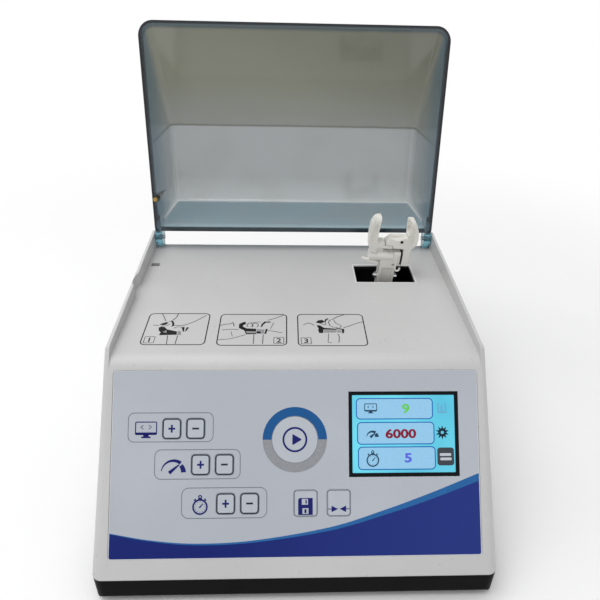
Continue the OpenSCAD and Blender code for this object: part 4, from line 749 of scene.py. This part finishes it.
class MIXER_OT_shells(MixerOperator, bpy.types.Operator):
    """Finish the housing, tray and rear panel"""
    bl_idname = "mixer.shells"
    bl_label = "Shells"

    def execute(self, context):
        s = context.scene.mixer_shells
        edge = s.edge / MM
        housing = Surface("housing_moulding", 0.42).colour(s.housing, 0.025, 14).sheen(0.07, 60)
        # The inner faces get painted shade, so that the inside seen through the opening looks dark
        self.shade_inside(housing.spots(times(s.housing, 0.94), 260, 0.66, 0.05))
        dress("top_housing", housing.edges(edge).grain(1500, 0.03, 0.35))
        tray = Surface("tray_moulding", 0.5, **DULL).colour(s.tray, 0.12, 30).sheen(0.08, 80)
        tray.spots([c + 0.035 for c in s.tray], 420, 0.70, 0.04)
        dress("base_tray", tray.edges(edge).grain(1100, 0.06, 0.5))
        rear = Surface("rear_sheet", 0.45, **DULL).colour(times(s.tray, 1.6), 0.1, 50).sheen(0.07, 120)
        dress("rear_panel", rear.edges(0.25).grain(2200, 0.05, 0.5))
        rubber = Surface("foot_rubber", 0.8, **DULL).colour((0.12, 0.12, 0.125), 0.1, 120).edges(0.3)
        dress("rubber_feet motor_isolators", rubber.grain(900, 0.05, 0.6))
        return {"FINISHED"}

    def shade_inside(self, made):
        """Painted shade: a dark colour on the inner faces, where the inside lies in shadow, found by their depth
        behind the outer ones.
        """
        low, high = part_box("top_housing")
        right, left = Vector((high.x, 0, low.z)), Vector((-high.x, 0, low.z))
        fold = DECK.translation
        slope = (0, -math.sin(PANEL_SLOPE), math.cos(PANEL_SLOPE))
        least = None
        for direction, at, depth in (((1, 0, SIDE_DRAFT), right, WALL_SHADE), ((-1, 0, SIDE_DRAFT), left, WALL_SHADE),
                                     ((0, 1, 0), high, WALL_SHADE), ((DECK_SHADE_TILT, 0, 1), fold, DECK_SHADE),
                                     (slope, fold, PANEL_SHADE)):
            inner = Vector(direction).dot(at) - depth * MM
            behind = made.math("SUBTRACT", inner, made.dot(direction))
            least = made.math("MINIMUM", least, behind) if least else behind
        made.paint(made.mix(made.math("GREATER_THAN", least, 0), made.shown, linear(INSIDE_SHADE)))


class MIXER_OT_keypad(MixerOperator, bpy.types.Operator):
    """Print the keypad film: wave, ring, key groups and their pictures"""
    bl_idname = "mixer.keypad"
    bl_label = "Keypad film"

    def execute(self, context):
        s, p = context.scene.mixer_shells, context.scene.mixer_prints
        film = Surface("keypad_film", 0.34).colour(s.overlay, 0.02, 10).sheen(0.05, 45)
        film.spots(times(s.overlay, 1.035), 9, 0.5, 0.25, 2.0)
        dress("keypad_overlay", film.edges(0.15).grain(3000, 0.012, 0.25))
        navy, pale = ink("ink_navy", p.navy), ink("ink_pale", p.pale)
        self.wave(p)
        printed("ring_upper", [band(*START, *RING, 0, 180)], FILM_FACE, ink("ink_ring_blue", p.ring_blue))
        printed("ring_lower", [band(*START, *RING, 180, 360)], FILM_FACE, ink("ink_ring_grey", p.ring_grey))
        printed("key_group_lines", [rounded_line(*group, 0.42) for group in GROUPS], FILM_FACE, pale)
        edge = ink("ink_margin", (0.80, 0.81, 0.83))
        printed("film_margin", [rounded_line(*MARGIN, 0.45)], FILM_FACE, edge, over=0.015)
        printed("program_picture", monitor(*FILM_MONITOR), FILM_FACE, navy)
        printed("speed_picture", gauge(*FILM_GAUGE), FILM_FACE, navy)
        printed("timer_picture", stopwatch(*FILM_STOPWATCH), FILM_FACE, navy)
        return {"FINISHED"}

    def wave(self, p):
        """The field along the foot and the stripe on its top, a little lighter towards the right."""
        left, right = WAVE_TOP[0][0], WAVE_TOP[-1][0]
        crest, lower = bow(WAVE_TOP), bow(WAVE_CREST_LOW)
        printed("wave_crest", [[crest + lower[::-1]]], FILM_FACE, ink("ink_crest", p.crest))
        field = Surface("ink_wave", 0.42, Specular_IOR_Level=0.15)
        dark, light = linear(p.wave), linear([c + 0.08 for c in p.wave])
        across = field.ramp(field.share(field.axis("X"), left * MM, right * MM), [(0.25, dark), (0.95, light)])
        field.paint(field.mix(field.mask(field.noise(16), 0.4, 0.9, 0, 0.5), across, light))
        r = WAVE_CORNER
        corners = arc(right - r, WAVE_FOOT + r, r, 0, -90, 6) + arc(left + r, WAVE_FOOT + r, r, -90, -180, 6)
        field.sheen(0.05, 120).grain(2500, 0.01, 0.2)
        printed("wave_field", [[lower + corners]], FILM_FACE, field.material)


class MIXER_OT_keys(MixerOperator, bpy.types.Operator):
    """Finish the keys and print their outlines and signs"""
    bl_idname = "mixer.keys"
    bl_label = "Keys"

    def execute(self, context):
        s, p = context.scene.mixer_shells, context.scene.mixer_prints
        film = Surface("key_film", 0.36).colour(times(s.overlay, 1.03), 0.02, 60).sheen(0.05, 200)
        keys = [n for n in NODES if n.startswith("key_") and n != "key_domes"]
        dress(" ".join(keys), film.edges(0.2).grain(3000, 0.012, 0.25))
        domes = Surface("dome_steel", 0.3, Metallic=1.0).colour((0.75, 0.75, 0.76), 0.05, 300)
        dress("key_domes", domes.grain(900, 0.02))
        dress("keypad_tail", Surface("tail_film", 0.3).colour((0.78, 0.50, 0.18), 0.06, 100).grain(1500, 0.02))
        navy, pale, slate = earlier("ink_navy"), earlier("ink_pale"), ink("ink_slate", p.slate)
        for key, (x, y) in SMALL_KEYS.items():
            self.mark(key, "line", [frame_line(x, y, *SMALL_LINE)], slate)
            if key.endswith("_up"):
                self.mark(key, "sign", [[moved(PLUS, x, y)]], navy)
            else:
                self.mark(key, "sign", [box_shape(x - PLUS_WIDE, y - PLUS_HALF, x + PLUS_WIDE, y + PLUS_HALF)], slate)
        for key, (x, y) in WIDE_KEYS.items():
            self.mark(key, "line", [frame_line(x, y, *WIDE_LINE)], pale)
        x, y = WIDE_KEYS["key_save"]
        self.mark("key_save", "picture", disk(x - 0.1, y - 1.7, 8.0, 9.0), navy)
        x, y = WIDE_KEYS["key_reset"]
        self.mark("key_reset", "picture", meeting_arrows(x, y - 3.2), navy)
        x, y = START
        self.mark("key_start", "sign", [ring(x, y, 6.35, 1.05), [rounded_triangle(x + 0.4, y, 3.3)]], navy)
        return {"FINISHED"}

    def mark(self, key, tag, shapes, material):
        printed(f"{key}_{tag}", shapes, KEY_FACE, material, f"{key}_body")


class MIXER_OT_screen(MixerOperator, bpy.types.Operator):
    """Light the screen: ground, three rows with numbers, and side signs"""
    bl_idname = "mixer.screen"
    bl_label = "Screen"

    def execute(self, context):
        s, d = context.scene.mixer_shells, context.scene.mixer_screen
        border = Surface("bezel_ink", 0.3, Specular_IOR_Level=0.12).colour(s.bezel, 0.1, 200).edges(0.2)
        dress("display_bezel", border.grain(2000, 0.01, 0.2))
        module = Surface("screen_body", 0.3).colour((0.10, 0.12, 0.14), 0.1, 200).edges(0.2)
        dress("display_module", module.grain(1500, 0.02))
        ground = Surface("screen_ground", 0.2, Specular_IOR_Level=0.15)
        cloud = ground.ramp(ground.noise(26, 1.5), [(0.35, linear(d.ground)), (0.65, linear(d.ground_bright))])
        ground.set(Emission_Color=cloud, Emission_Strength=d.strength, Base_Color=(0.02, 0.05, 0.06))
        self.put("screen_ground", [[rounded(*SCREEN, 0.4)]], 0, ground.grain(1800, 0.005, 0.15).material)
        row = lit("screen_row", d.row, d.strength, 0.05)
        edge = lit("screen_row_frame", d.frame, d.strength)
        for i, corners in enumerate(ROWS, 1):
            self.put(f"screen_row_{i}", [[rounded(*corners, 2.2)]], 1, row)
            self.put(f"screen_frame_{i}", [rounded_line(*corners, 2.2, 0.55)], 2, edge)
        dark = lit("screen_dark", (0.14, 0.26, 0.36), d.strength)
        self.put("screen_monitor", monitor(*SCREEN_MONITOR), 2, dark)
        self.put("screen_gauge", gauge(*SCREEN_GAUGE), 2, dark)
        self.put("screen_stopwatch", stopwatch(*SCREEN_STOPWATCH), 2, dark)
        for tag, x, y, height, name, colour in NUMBERS:
            made = figures(getattr(d, tag), x, y, height, *self.heights(2), 1.3, 0.22)
            piece(f"screen_{tag}", [made], PANEL, "machine", lit(name, colour, d.strength))
        for tag, layer, name, colour, shapes in side_signs():
            self.put(f"screen_{tag}", shapes, layer, lit(name, colour, d.strength))
        return {"FINISHED"}

    def put(self, name, shapes, layer, material):
        made = [prism(shape, *self.heights(layer)) for shape in shapes]
        piece(name, made, PANEL, "machine", material)

    def heights(self, layer):
        return SCREEN_DEPTH + LAYER * layer - 0.02, SCREEN_DEPTH + LAYER * (layer + 1)


class MIXER_OT_deck(MixerOperator, bpy.types.Operator):
    """Print the three numbered line pictures on the deck, and paint a highlight round its opening"""
    bl_idname = "mixer.deck"
    bl_label = "Deck pictures"

    def execute(self, context):
        p = context.scene.mixer_prints
        black, grey, soft = (ink(name, [c + paler for c in p.black]) for name, paler in
                             (("ink_black", 0), ("ink_grey", 0.50), ("ink_soft", 0.24)))
        for i, (x0, y0, x1, y1) in enumerate(PICTURES):
            tag = f"deck_picture_{i + 1}"
            x, y = x1 - 4.6 if i == 1 else x0 + 4.6, y0 + 4.9
            frames = [rounded_line(x0, y0, x1, y1, 3.0, 0.65), frame_line(x, y, *NUMBER_BOX)]
            printed(f"{tag}_frame", frames, DECK_FACE, black)
            number = figures(str(i + 1), x, y, 4.2, -SUNK, p.thickness / MM, 1, 0.1)
            piece(f"{tag}_number", [number], DECK, "machine", black)
            holder, shade = ([[moved(loop, x0, y0)] for loop in table[i]] for table in (HOLDERS, SHADES))
            strokes = [line(bow(moved(points, x0, y0)), width) for points, width in STROKES[i]]
            printed(f"{tag}_holder", holder, DECK_FACE, black)
            printed(f"{tag}_shade", shade, DECK_FACE, grey, over=0.012)
            printed(f"{tag}_lines", strokes, DECK_FACE, soft, over=0.006)
        # Painted highlight: a thin near-white ring round the opening stands in for light on its bevel
        rim = Surface("opening_edge", 0.4).colour((0.93, 0.93, 0.93), 0.03, 90).grain(1500, 0.01, 0.2).material
        made = prism(rounded_line(*OPENING, 0.3, 0.5), -0.02, 0.1)
        piece("opening_edge", [made], DECK, "machine", rim)
        return {"FINISHED"}


class MIXER_OT_lid(MixerOperator, bpy.types.Operator):
    """Finish the tinted lid, its pins and the interlock pin"""
    bl_idname = "mixer.lid"
    bl_label = "Lid"

    def execute(self, context):
        dress("lid_shell", self.clear(context.scene.mixer_lid), 35.0)
        steel = Surface("pin_steel", 0.28, Metallic=1.0).colour((0.74, 0.74, 0.75), 0.05, 200)
        steel.grain(900, 0.02, 0.3, stretch=(0.1, 1, 1)).sheen(0.06, 500)
        dress("lid_hinge_pins motor_shaft", steel)
        brass = Surface("pin_brass", 0.26, Metallic=1.0).colour((0.66, 0.54, 0.30), 0.06, 300).sheen(0.08, 400)
        dress("lid_latch_pin inlet_blades", brass.grain(900, 0.02, 0.3))
        return {"FINISHED"}

    def clear(self, s):
        """Clear moulding whose tint changes from wall to wall, with painted highlight, shade and reflection at its
        creases and top, darkest where its rim shows.
        """
        made = Surface("lid_clear", s.roughness, IOR=1.49, Transmission_Weight=s.clear)
        low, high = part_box("lid_shell")
        rear, roof, front, side = (linear(c) for c in (s.rear, s.roof, s.front, s.side))
        height = made.math("MULTIPLY_ADD", made.noise(9, 4.0), 0.0015, made.axis("Z"))
        # Up the open lid: rear wall, painted highlight along its crease, roof, painted shade along the next crease,
        # front slope
        # The roof is painted lighter beside that highlight, and the front slope painted darker towards its top, as
        # shade
        walls = [(0.0, rear), (0.108, rear), (0.114, linear((0.93, 0.95, 0.96))), (0.122, times(roof, 1.3)),
                 (0.25, roof), (0.496, roof), (0.503, times(front, 0.4)),
                 (0.512, [(a + b) / 2 for a, b in zip(front, roof)]), (0.75, front), (1.0, times(front, 0.86))]
        tint = made.ramp(made.share(height, low.z, high.z), walls)
        # Painted reflection: darker and more olive towards the lid's upper right corner
        corner = made.share(made.dot((0.6, 0, 1)), (low.z + high.z) / 2, high.z + 0.6 * high.x)
        tint = made.mix(made.mask(corner, 0.25, 1.0, 0, 0.8), tint, times(front, 0.62))
        across = made.math("ABSOLUTE", made.axis("X"))
        tint = made.mix(made.mask(made.share(across, 0.9 * high.x, high.x), 0.35, 0.8), tint, side)
        tint = made.mix(made.mask(made.noise(23, 6.0), 0.45, 0.8, 0, 0.25), tint, front)
        away = made.vector("LENGTH", made.vector("MULTIPLY_ADD", made.place, (0, 1, 1), -HINGE))
        ears = made.mask(made.share(away, 0, LID_EAR * MM), 0.30, 0.42, 1, 0)
        tint = made.mix(ears, tint, linear((0.50, 0.72, 0.78)))
        up = Vector((0, math.sin(LID_OPEN), math.cos(LID_OPEN)))
        foot = up.dot(HINGE) - RIM_BELOW_HINGE * MM
        rim = made.mask(made.share(made.dot(up), foot, foot + 4 * MM), 0.12, 0.45, 1, 0)
        tint = made.mix(rim, tint, times(side, 0.45))
        return made.paint(made.mix(made.math("MULTIPLY", rim, self.outline(made, across)), tint,
                                   linear(s.rim))).sheen(0.03, 30).grain(60, 0.01, 0.05)

    def outline(self, made, across):
        """1 within 1.5 mm of the rim's outline, a rounded rectangle, and 0 further in."""
        back = Vector((0, math.cos(LID_OPEN), -math.sin(LID_OPEN)))
        along = made.math("SUBTRACT", made.dot(back), back.dot(HINGE) - RIM_MIDDLE * MM)
        spot = made.add("CombineXYZ", across, made.math("ABSOLUTE", along)).outputs["Vector"]
        straight = [(size - RIM_CORNER) * MM for size in RIM_HALVES]
        past = made.vector("MAXIMUM", made.vector("SUBTRACT", spot, (*straight, 0)), (0, 0, 0))
        return made.share(made.vector("LENGTH", past), (RIM_CORNER - 2.0) * MM, (RIM_CORNER - 1.5) * MM)


class MIXER_OT_fork(MixerOperator, bpy.types.Operator):
    """Finish the capsule fork and wind its spring"""
    bl_idname = "mixer.fork"
    bl_label = "Capsule fork"

    def execute(self, context):
        s = context.scene.mixer_fork
        white = Surface("fork_moulding", 0.4).colour(s.plastic, 0.03, 90).sheen(0.06, 200)
        white.spots(times(s.plastic, 0.93), 150, 0.6, 0.1)
        dress("mixing_arm sliding_jaw barrel_cap", white.edges(0.35).grain(1800, 0.02, 0.3))
        bright = Surface("bright_steel", 0.25, Metallic=1.0).colour((0.80, 0.80, 0.81), 0.04, 400).edges(0.1)
        dress("stem_pin hub_nut interlock_lever", bright.grain(1500, 0.01, 0.3))
        black = Surface("pad_rubber", 0.7, Specular_IOR_Level=0.2).colour((0.06, 0.06, 0.065), 0.1, 300)
        rubber = black.grain(1500, 0.02).material
        # Painted shade: a black pad on the barrel cap's right face darkens the slit between the cap and the plate
        face = ARM @ plane((8.0 * MM, 0, (BARREL_Z - 0.4) * MM), (0, 1, 0), (0, 0, 1))
        pad = prism([rounded(-4.1, -4.7, 4.1, 4.7, 1.2), circle(0, 0.4, 1.9, 24)], -0.05, 1.0)
        piece("barrel_pad", [pad], face, "arm", rubber)
        hole = ARM @ plane((7.1 * MM, -4.3 * MM, (BARREL_Z + 12.4) * MM), (1, 0, 0), (0, 0, 1))
        piece("jaw_plug", [prism([circle(0, 0, 1.08, 24)], -0.6, -0.25)], hole, "jaw", rubber)
        (x0, x1), radius = SPRING_ENDS, SPRING_RADIUS - s.wire / MM
        steps = s.turns * 24
        turns = [(x0 + (x1 - x0) * i / steps, radius * math.cos(math.tau * i / 24),
                  BARREL_Z + radius * math.sin(math.tau * i / 24)) for i in range(steps + 1)]
        coil = piece("jaw_coil", [wire(turns, s.wire / MM)], ARM, "arm", bright.material, 60)
        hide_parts("jaw_spring")
        return {"FINISHED"}


class MIXER_OT_drive(MixerOperator, bpy.types.Operator):
    """Finish the motor, its windings and bearings, and the hub that wobbles the arm"""
    bl_idname = "mixer.drive"
    bl_label = "Drive"

    def execute(self, context):
        painted = Surface("painted_steel", 0.45, Specular_IOR_Level=0.3).colour((0.11, 0.11, 0.12), 0.1, 80)
        dress("motor_can motor_bracket", painted.sheen(0.08, 150).edges(0.3).grain(1400, 0.04, 0.5))
        stack = Surface("stacked_sheet", 0.42, Metallic=1.0).colour((0.42, 0.43, 0.46), 0.1, 120)
        along = stack.add("Mapping", stack.place, Scale=(320, 1, 1)).outputs["Vector"]
        layers = stack.add("TexWave", along, Scale=1.0, Distortion=0.2).outputs["Fac"]
        dress("stator_core rotor_core power_transformer", stack.bump(layers, 0.1, 0.6))
        turned = Surface("machined_steel", 0.3, Metallic=1.0).colour((0.66, 0.66, 0.68), 0.05, 200).edges(0.2)
        dress("skew_hub counterweight", turned.grain(500, 0.02, 0.4, stretch=(1, 1, 9)))
        cast = Surface("cast_alloy", 0.5, Metallic=1.0).colour((0.70, 0.71, 0.72), 0.05, 90).edges(0.4)
        dress("motor_end_cap", cast.grain(900, 0.08, 0.5))
        guide = Surface("guide_moulding", 0.5).colour((0.15, 0.15, 0.16), 0.1, 90).edges(0.3)
        dress("guide_block", guide.grain(1200, 0.03))
        self.windings(context.scene.mixer_fork)
        self.bearings()
        return {"FINISHED"}

    def windings(self, s):
        """Bundles of lacquered wire at the two ends of the stator."""
        low, high = (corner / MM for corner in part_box("stator_windings"))
        core_low, core_high = (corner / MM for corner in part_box("stator_core"))
        y, z = (low.y + high.y) / 2, (low.z + high.z) / 2
        outer = (high.y - low.y) / 2
        copper = Surface("winding_wire", 0.28, Metallic=0.85).colour(s.copper, 0.1, 300).grain(1200, 0.02)
        rng = random.Random(7)
        meshes = []
        for x0, x1 in ((low.x, core_low.x), (core_high.x, high.x)):
            for layer in range(4):
                x = x0 + 0.9 + (x1 - x0 - 1.8) * layer / 3
                for k in range(3):
                    phase = rng.random() * math.tau
                    loop = []
                    for a in (math.tau * i / 60 for i in range(60)):
                        r = outer - 0.9 - k * 1.5 + 0.15 * math.sin(9 * a + phase)
                        loop.append((x + 0.25 * math.sin(6 * a + phase), y + r * math.cos(a), z + r * math.sin(a)))
                    meshes.append(wire(loop, 0.72, True, 1))
        coils = piece("wound_coils", meshes, Matrix.Identity(4), "machine", copper.material, 60)
        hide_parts("stator_windings")

    def bearings(self):
        """Races and balls in place of the plain rings."""
        steel = earlier("pin_steel")
        low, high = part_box("motor_bearings")
        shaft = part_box("motor_shaft")
        axle = plane((0, (low.y + high.y) / 2, (low.z + high.z) / 2), (0, 1, 0), (0, 0, 1))
        inner = (shaft[1].y - shaft[0].y) / 2 / MM + BORE_GAP
        outer = (high.y - low.y) / 2 / MM
        pair = [mesh for x in (low.x / MM, high.x / MM - MOTOR_BEARING)
                for mesh in bearing_meshes(x, MOTOR_BEARING, inner, outer)]
        made = piece("motor_ball_bearings", pair, axle, "machine", steel, 40)
        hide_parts("motor_bearings")
        single = bearing_meshes(-ARM_BEARING / 2, ARM_BEARING, JOURNAL_R + BORE_GAP, BEARING_R)
        journal = ARM @ plane((0, 0, 0), (0, 1, 0), (0, 0, 1))
        made = piece("arm_ball_bearing", single, journal, "arm", steel, 40)
        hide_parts("arm_bearing")


class MIXER_OT_boards(MixerOperator, bpy.types.Operator):
    """Finish the circuit boards and what stands on them"""
    bl_idname = "mixer.boards"
    bl_label = "Boards"

    def execute(self, context):
        green = Surface("solder_mask", 0.35).colour((0.10, 0.36, 0.22), 0.1, 60)
        tracks = green.mask(green.noise(180, 0.0, (1, 9, 9)), 0.48, 0.52)
        green.paint(green.mix(tracks, green.shown, linear((0.14, 0.45, 0.27))))
        dress("main_board power_board", green.edges(0.1).grain(700, 0.03, 0.4))
        parts = Surface("component_body", 0.45).colour((0.13, 0.13, 0.14), 0.12, 150).edges(0.25)
        dress("board_components power_capacitors", parts.grain(1200, 0.04))
        return {"FINISHED"}


class MIXER_OT_fittings(MixerOperator, bpy.types.Operator):
    """Finish the rear fittings and the interlock, and mark the power switch"""
    bl_idname = "mixer.fittings"
    bl_label = "Rear fittings"

    def execute(self, context):
        black = Surface("fitting_moulding", 0.32).colour((0.12, 0.12, 0.125), 0.1, 150).sheen(0.06, 200)
        dress("mains_inlet switch_frame switch_rocker fuse_holder fuse_cap interlock_switch",
              black.edges(0.3).grain(1400, 0.02, 0.3))
        white = ink("ink_white", (0.92, 0.92, 0.92))
        middle = Matrix.Translation(JOINTS["rocker_tip"]["pos_m"]) @ Matrix.Rotation(ROCKER_REST, 4, "X")
        for name, side, shape in (("rocker_bar", 1, box_shape(-0.25, -1.1, 0.25, 1.1)),
                                  ("rocker_ring", -1, ring(0, 0, 0.95, 0.45, 24))):
            facet = plane((0, 3.81 * MM, side * 4.4 * MM), (-1, 0, 0), (0, side * 0.223, 0.975))
            piece(name, [prism(shape, -SUNK, 0.04)], middle @ facet, "rocker", white)
        return {"FINISHED"}


class MIXER_OT_screws(MixerOperator, bpy.types.Operator):
    """Paint dark crosses on the screw heads as painted shade, where their cross recesses would be"""
    bl_idname = "mixer.screws"
    bl_label = "Screws"

    def execute(self, context):
        zinc = Surface("zinc_plate", 0.32, Metallic=1.0).colour((0.74, 0.75, 0.74), 0.06, 250).sheen(0.08, 400)
        dress("bracket_screws motor_screws interlock_screws rear_panel_screws tray_screws board_screws",
              zinc.edges(0.12).grain(1500, 0.02, 0.3))
        # Painted shade: thin dark crosses stand on the heads in place of shadowed recesses
        dark = Surface("screw_recess", 0.6, Metallic=0.6).colour((0.10, 0.10, 0.10), 0.2, 500).grain(900, 0.02)
        for name, place, head in (("rear_panel_screws", REAR, 2.0), ("tray_screws", GROUND, 3.0)):
            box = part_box(name)
            faced = place.inverted()
            corners = [faced @ Vector((x.x, y.y, z.z)) / MM for x in box for y in box for z in box]
            xs, ys, zs = zip(*corners)
            top = max(zs)
            meshes = []
            for x in (min(xs) + head, max(xs) - head):
                for y in (min(ys) + head, max(ys) - head):
                    meshes += [prism(shape, top - 0.5, top + 0.02) for shape in cross(x, y, head * 0.6, head * 0.16)]
            piece(f"{name}_recess", meshes, place, "machine", dark.material)
        return {"FINISHED"}


class MIXER_OT_stage(MixerOperator, bpy.types.Operator):
    """Set the floor, the soft lights and the camera"""
    bl_idname = "mixer.stage"
    bl_label = "Stage"

    def execute(self, context):
        s = context.scene.mixer_stage
        self.floor(s)
        self.world(context.scene, s)
        self.lamp("top_softbox", (-0.35, -0.05, 1.4), s.key_power, 1.2)
        self.lamp("side_softbox", (-1.1, 0.2, 0.9), s.fill_power, 0.8)
        self.camera(context.scene, s)
        return {"FINISHED"}

    def floor(self, s):
        """A pale floor that fades to white round the object, and shows white in glass and metal."""
        paint = Surface("floor_paint", 0.7).colour(s.floor, 0.01, 4)
        rays = paint.add("LightPath").outputs
        far = paint.share(paint.vector("LENGTH", paint.place), *FLOOR_FADE, interpolation_type="SMOOTHSTEP")
        seen = paint.math("MAXIMUM", rays["Is Glossy Ray"], rays["Is Transmission Ray"])
        faded = paint.math("MAXIMUM", paint.math("MULTIPLY", rays["Is Camera Ray"], far),
                           paint.math("MULTIPLY", seen, 0.9))
        white = paint.add("Emission", Color=(1, 1, 1), Strength=1.0).outputs["Emission"]
        paint.blend(faded, paint.shader.outputs["BSDF"], white, paint.tree.nodes["Material Output"])
        mesh = bpy.data.meshes.new("floor")
        corners = [(x * FLOOR_REACH, y * FLOOR_REACH, -0.2 * MM) for x, y in ((-1, -1), (1, -1), (1, 1), (-1, 1))]
        mesh.from_pydata(corners, [], [(0, 1, 2, 3)])
        mesh.materials.append(paint.material)
        obj = bpy.data.objects.new("floor", mesh)
        bpy.context.scene.collection.objects.link(obj)

    def world(self, scene, s):
        """Even soft light, and white wherever the world itself is seen."""
        scene.world = bpy.data.worlds.new("studio")
        scene.world.use_nodes = True
        sky = Graph(scene.world.node_tree)
        sky.tree.nodes.clear()
        rays = sky.add("LightPath").outputs
        seen = sky.math("MAXIMUM", rays["Is Camera Ray"], rays["Is Glossy Ray"])
        seen = sky.math("MAXIMUM", seen, rays["Is Transmission Ray"])
        soft, white = (sky.add("Background", Color=(1, 1, 1), Strength=level).outputs[0] for level in (s.sky, 1.0))
        sky.blend(seen, soft, white, sky.add("OutputWorld"))
        scene.view_settings.view_transform = "Standard"

    def lamp(self, name, place, power, size):
        data = bpy.data.lights.new(name, "AREA")
        data.energy, data.shape, data.size = power, "DISK", size
        obj = bpy.data.objects.new(name, data)
        obj.location = place
        obj.rotation_euler = (LAMP_TARGET - Vector(place)).to_track_quat("-Z", "Y").to_euler()
        bpy.context.scene.collection.objects.link(obj)

    def camera(self, scene, s):
        data = bpy.data.cameras.new("camera")
        data.lens, data.sensor_width = s.lens, 36
        data.shift_x, data.shift_y = CAMERA_SHIFT
        data.clip_start, data.clip_end = 0.01, 50
        pitch, yaw, roll = CAMERA_TURN
        ahead = Vector((math.sin(yaw) * math.cos(pitch), math.cos(yaw) * math.cos(pitch), -math.sin(pitch)))
        level = Vector((math.cos(yaw), -math.sin(yaw), 0))
        down = ahead.cross(level)
        right = level * math.cos(roll) + down * math.sin(roll)
        above = level * math.sin(roll) - down * math.cos(roll)
        obj = bpy.data.objects.new("camera", data)
        obj.matrix_world = Matrix([list(r) for r in zip(right, above, -ahead, CAMERA_PLACE)] + [[0, 0, 0, 1]])
        scene.collection.objects.link(obj)
        scene.camera = obj


OPERATORS = (MIXER_OT_shells, MIXER_OT_keypad, MIXER_OT_keys, MIXER_OT_screen, MIXER_OT_deck, MIXER_OT_lid,
             MIXER_OT_fork, MIXER_OT_drive, MIXER_OT_boards, MIXER_OT_fittings, MIXER_OT_screws, MIXER_OT_stage)
SETTINGS = {"mixer_shells": MIXER_PG_shells, "mixer_prints": MIXER_PG_prints, "mixer_screen": MIXER_PG_screen,
            "mixer_lid": MIXER_PG_lid, "mixer_fork": MIXER_PG_fork, "mixer_stage": MIXER_PG_stage}


class MIXER_PT_looks(bpy.types.Panel):
    """Lists the mixer's settings and the buttons of its operators"""
    bl_label = "Capsule mixer"
    bl_idname = "MIXER_PT_looks"
    bl_space_type = "VIEW_3D"
    bl_region_type = "UI"
    bl_category = "Mixer"

    def draw(self, context):
        for name, group in SETTINGS.items():
            box = self.layout.box()
            box.label(text=group.__doc__)
            for key in group.__annotations__:
                box.prop(getattr(context.scene, name), key)
        for operator in OPERATORS:
            self.layout.operator(operator.bl_idname)


CLASSES = (*SETTINGS.values(), *OPERATORS, MIXER_PT_looks)


def register():
    for cls in CLASSES:
        bpy.utils.register_class(cls)
    for name, group in SETTINGS.items():
        setattr(bpy.types.Scene, name, PointerProperty(type=group))


def unregister():
    for name in SETTINGS:
        delattr(bpy.types.Scene, name)
    for cls in reversed(CLASSES):
        bpy.utils.unregister_class(cls)


def main():
    register()
    for operator in OPERATORS:
        group, call = operator.bl_idname.split(".")
        getattr(getattr(bpy.ops, group), call)()


if __name__ == "__main__":
    main()
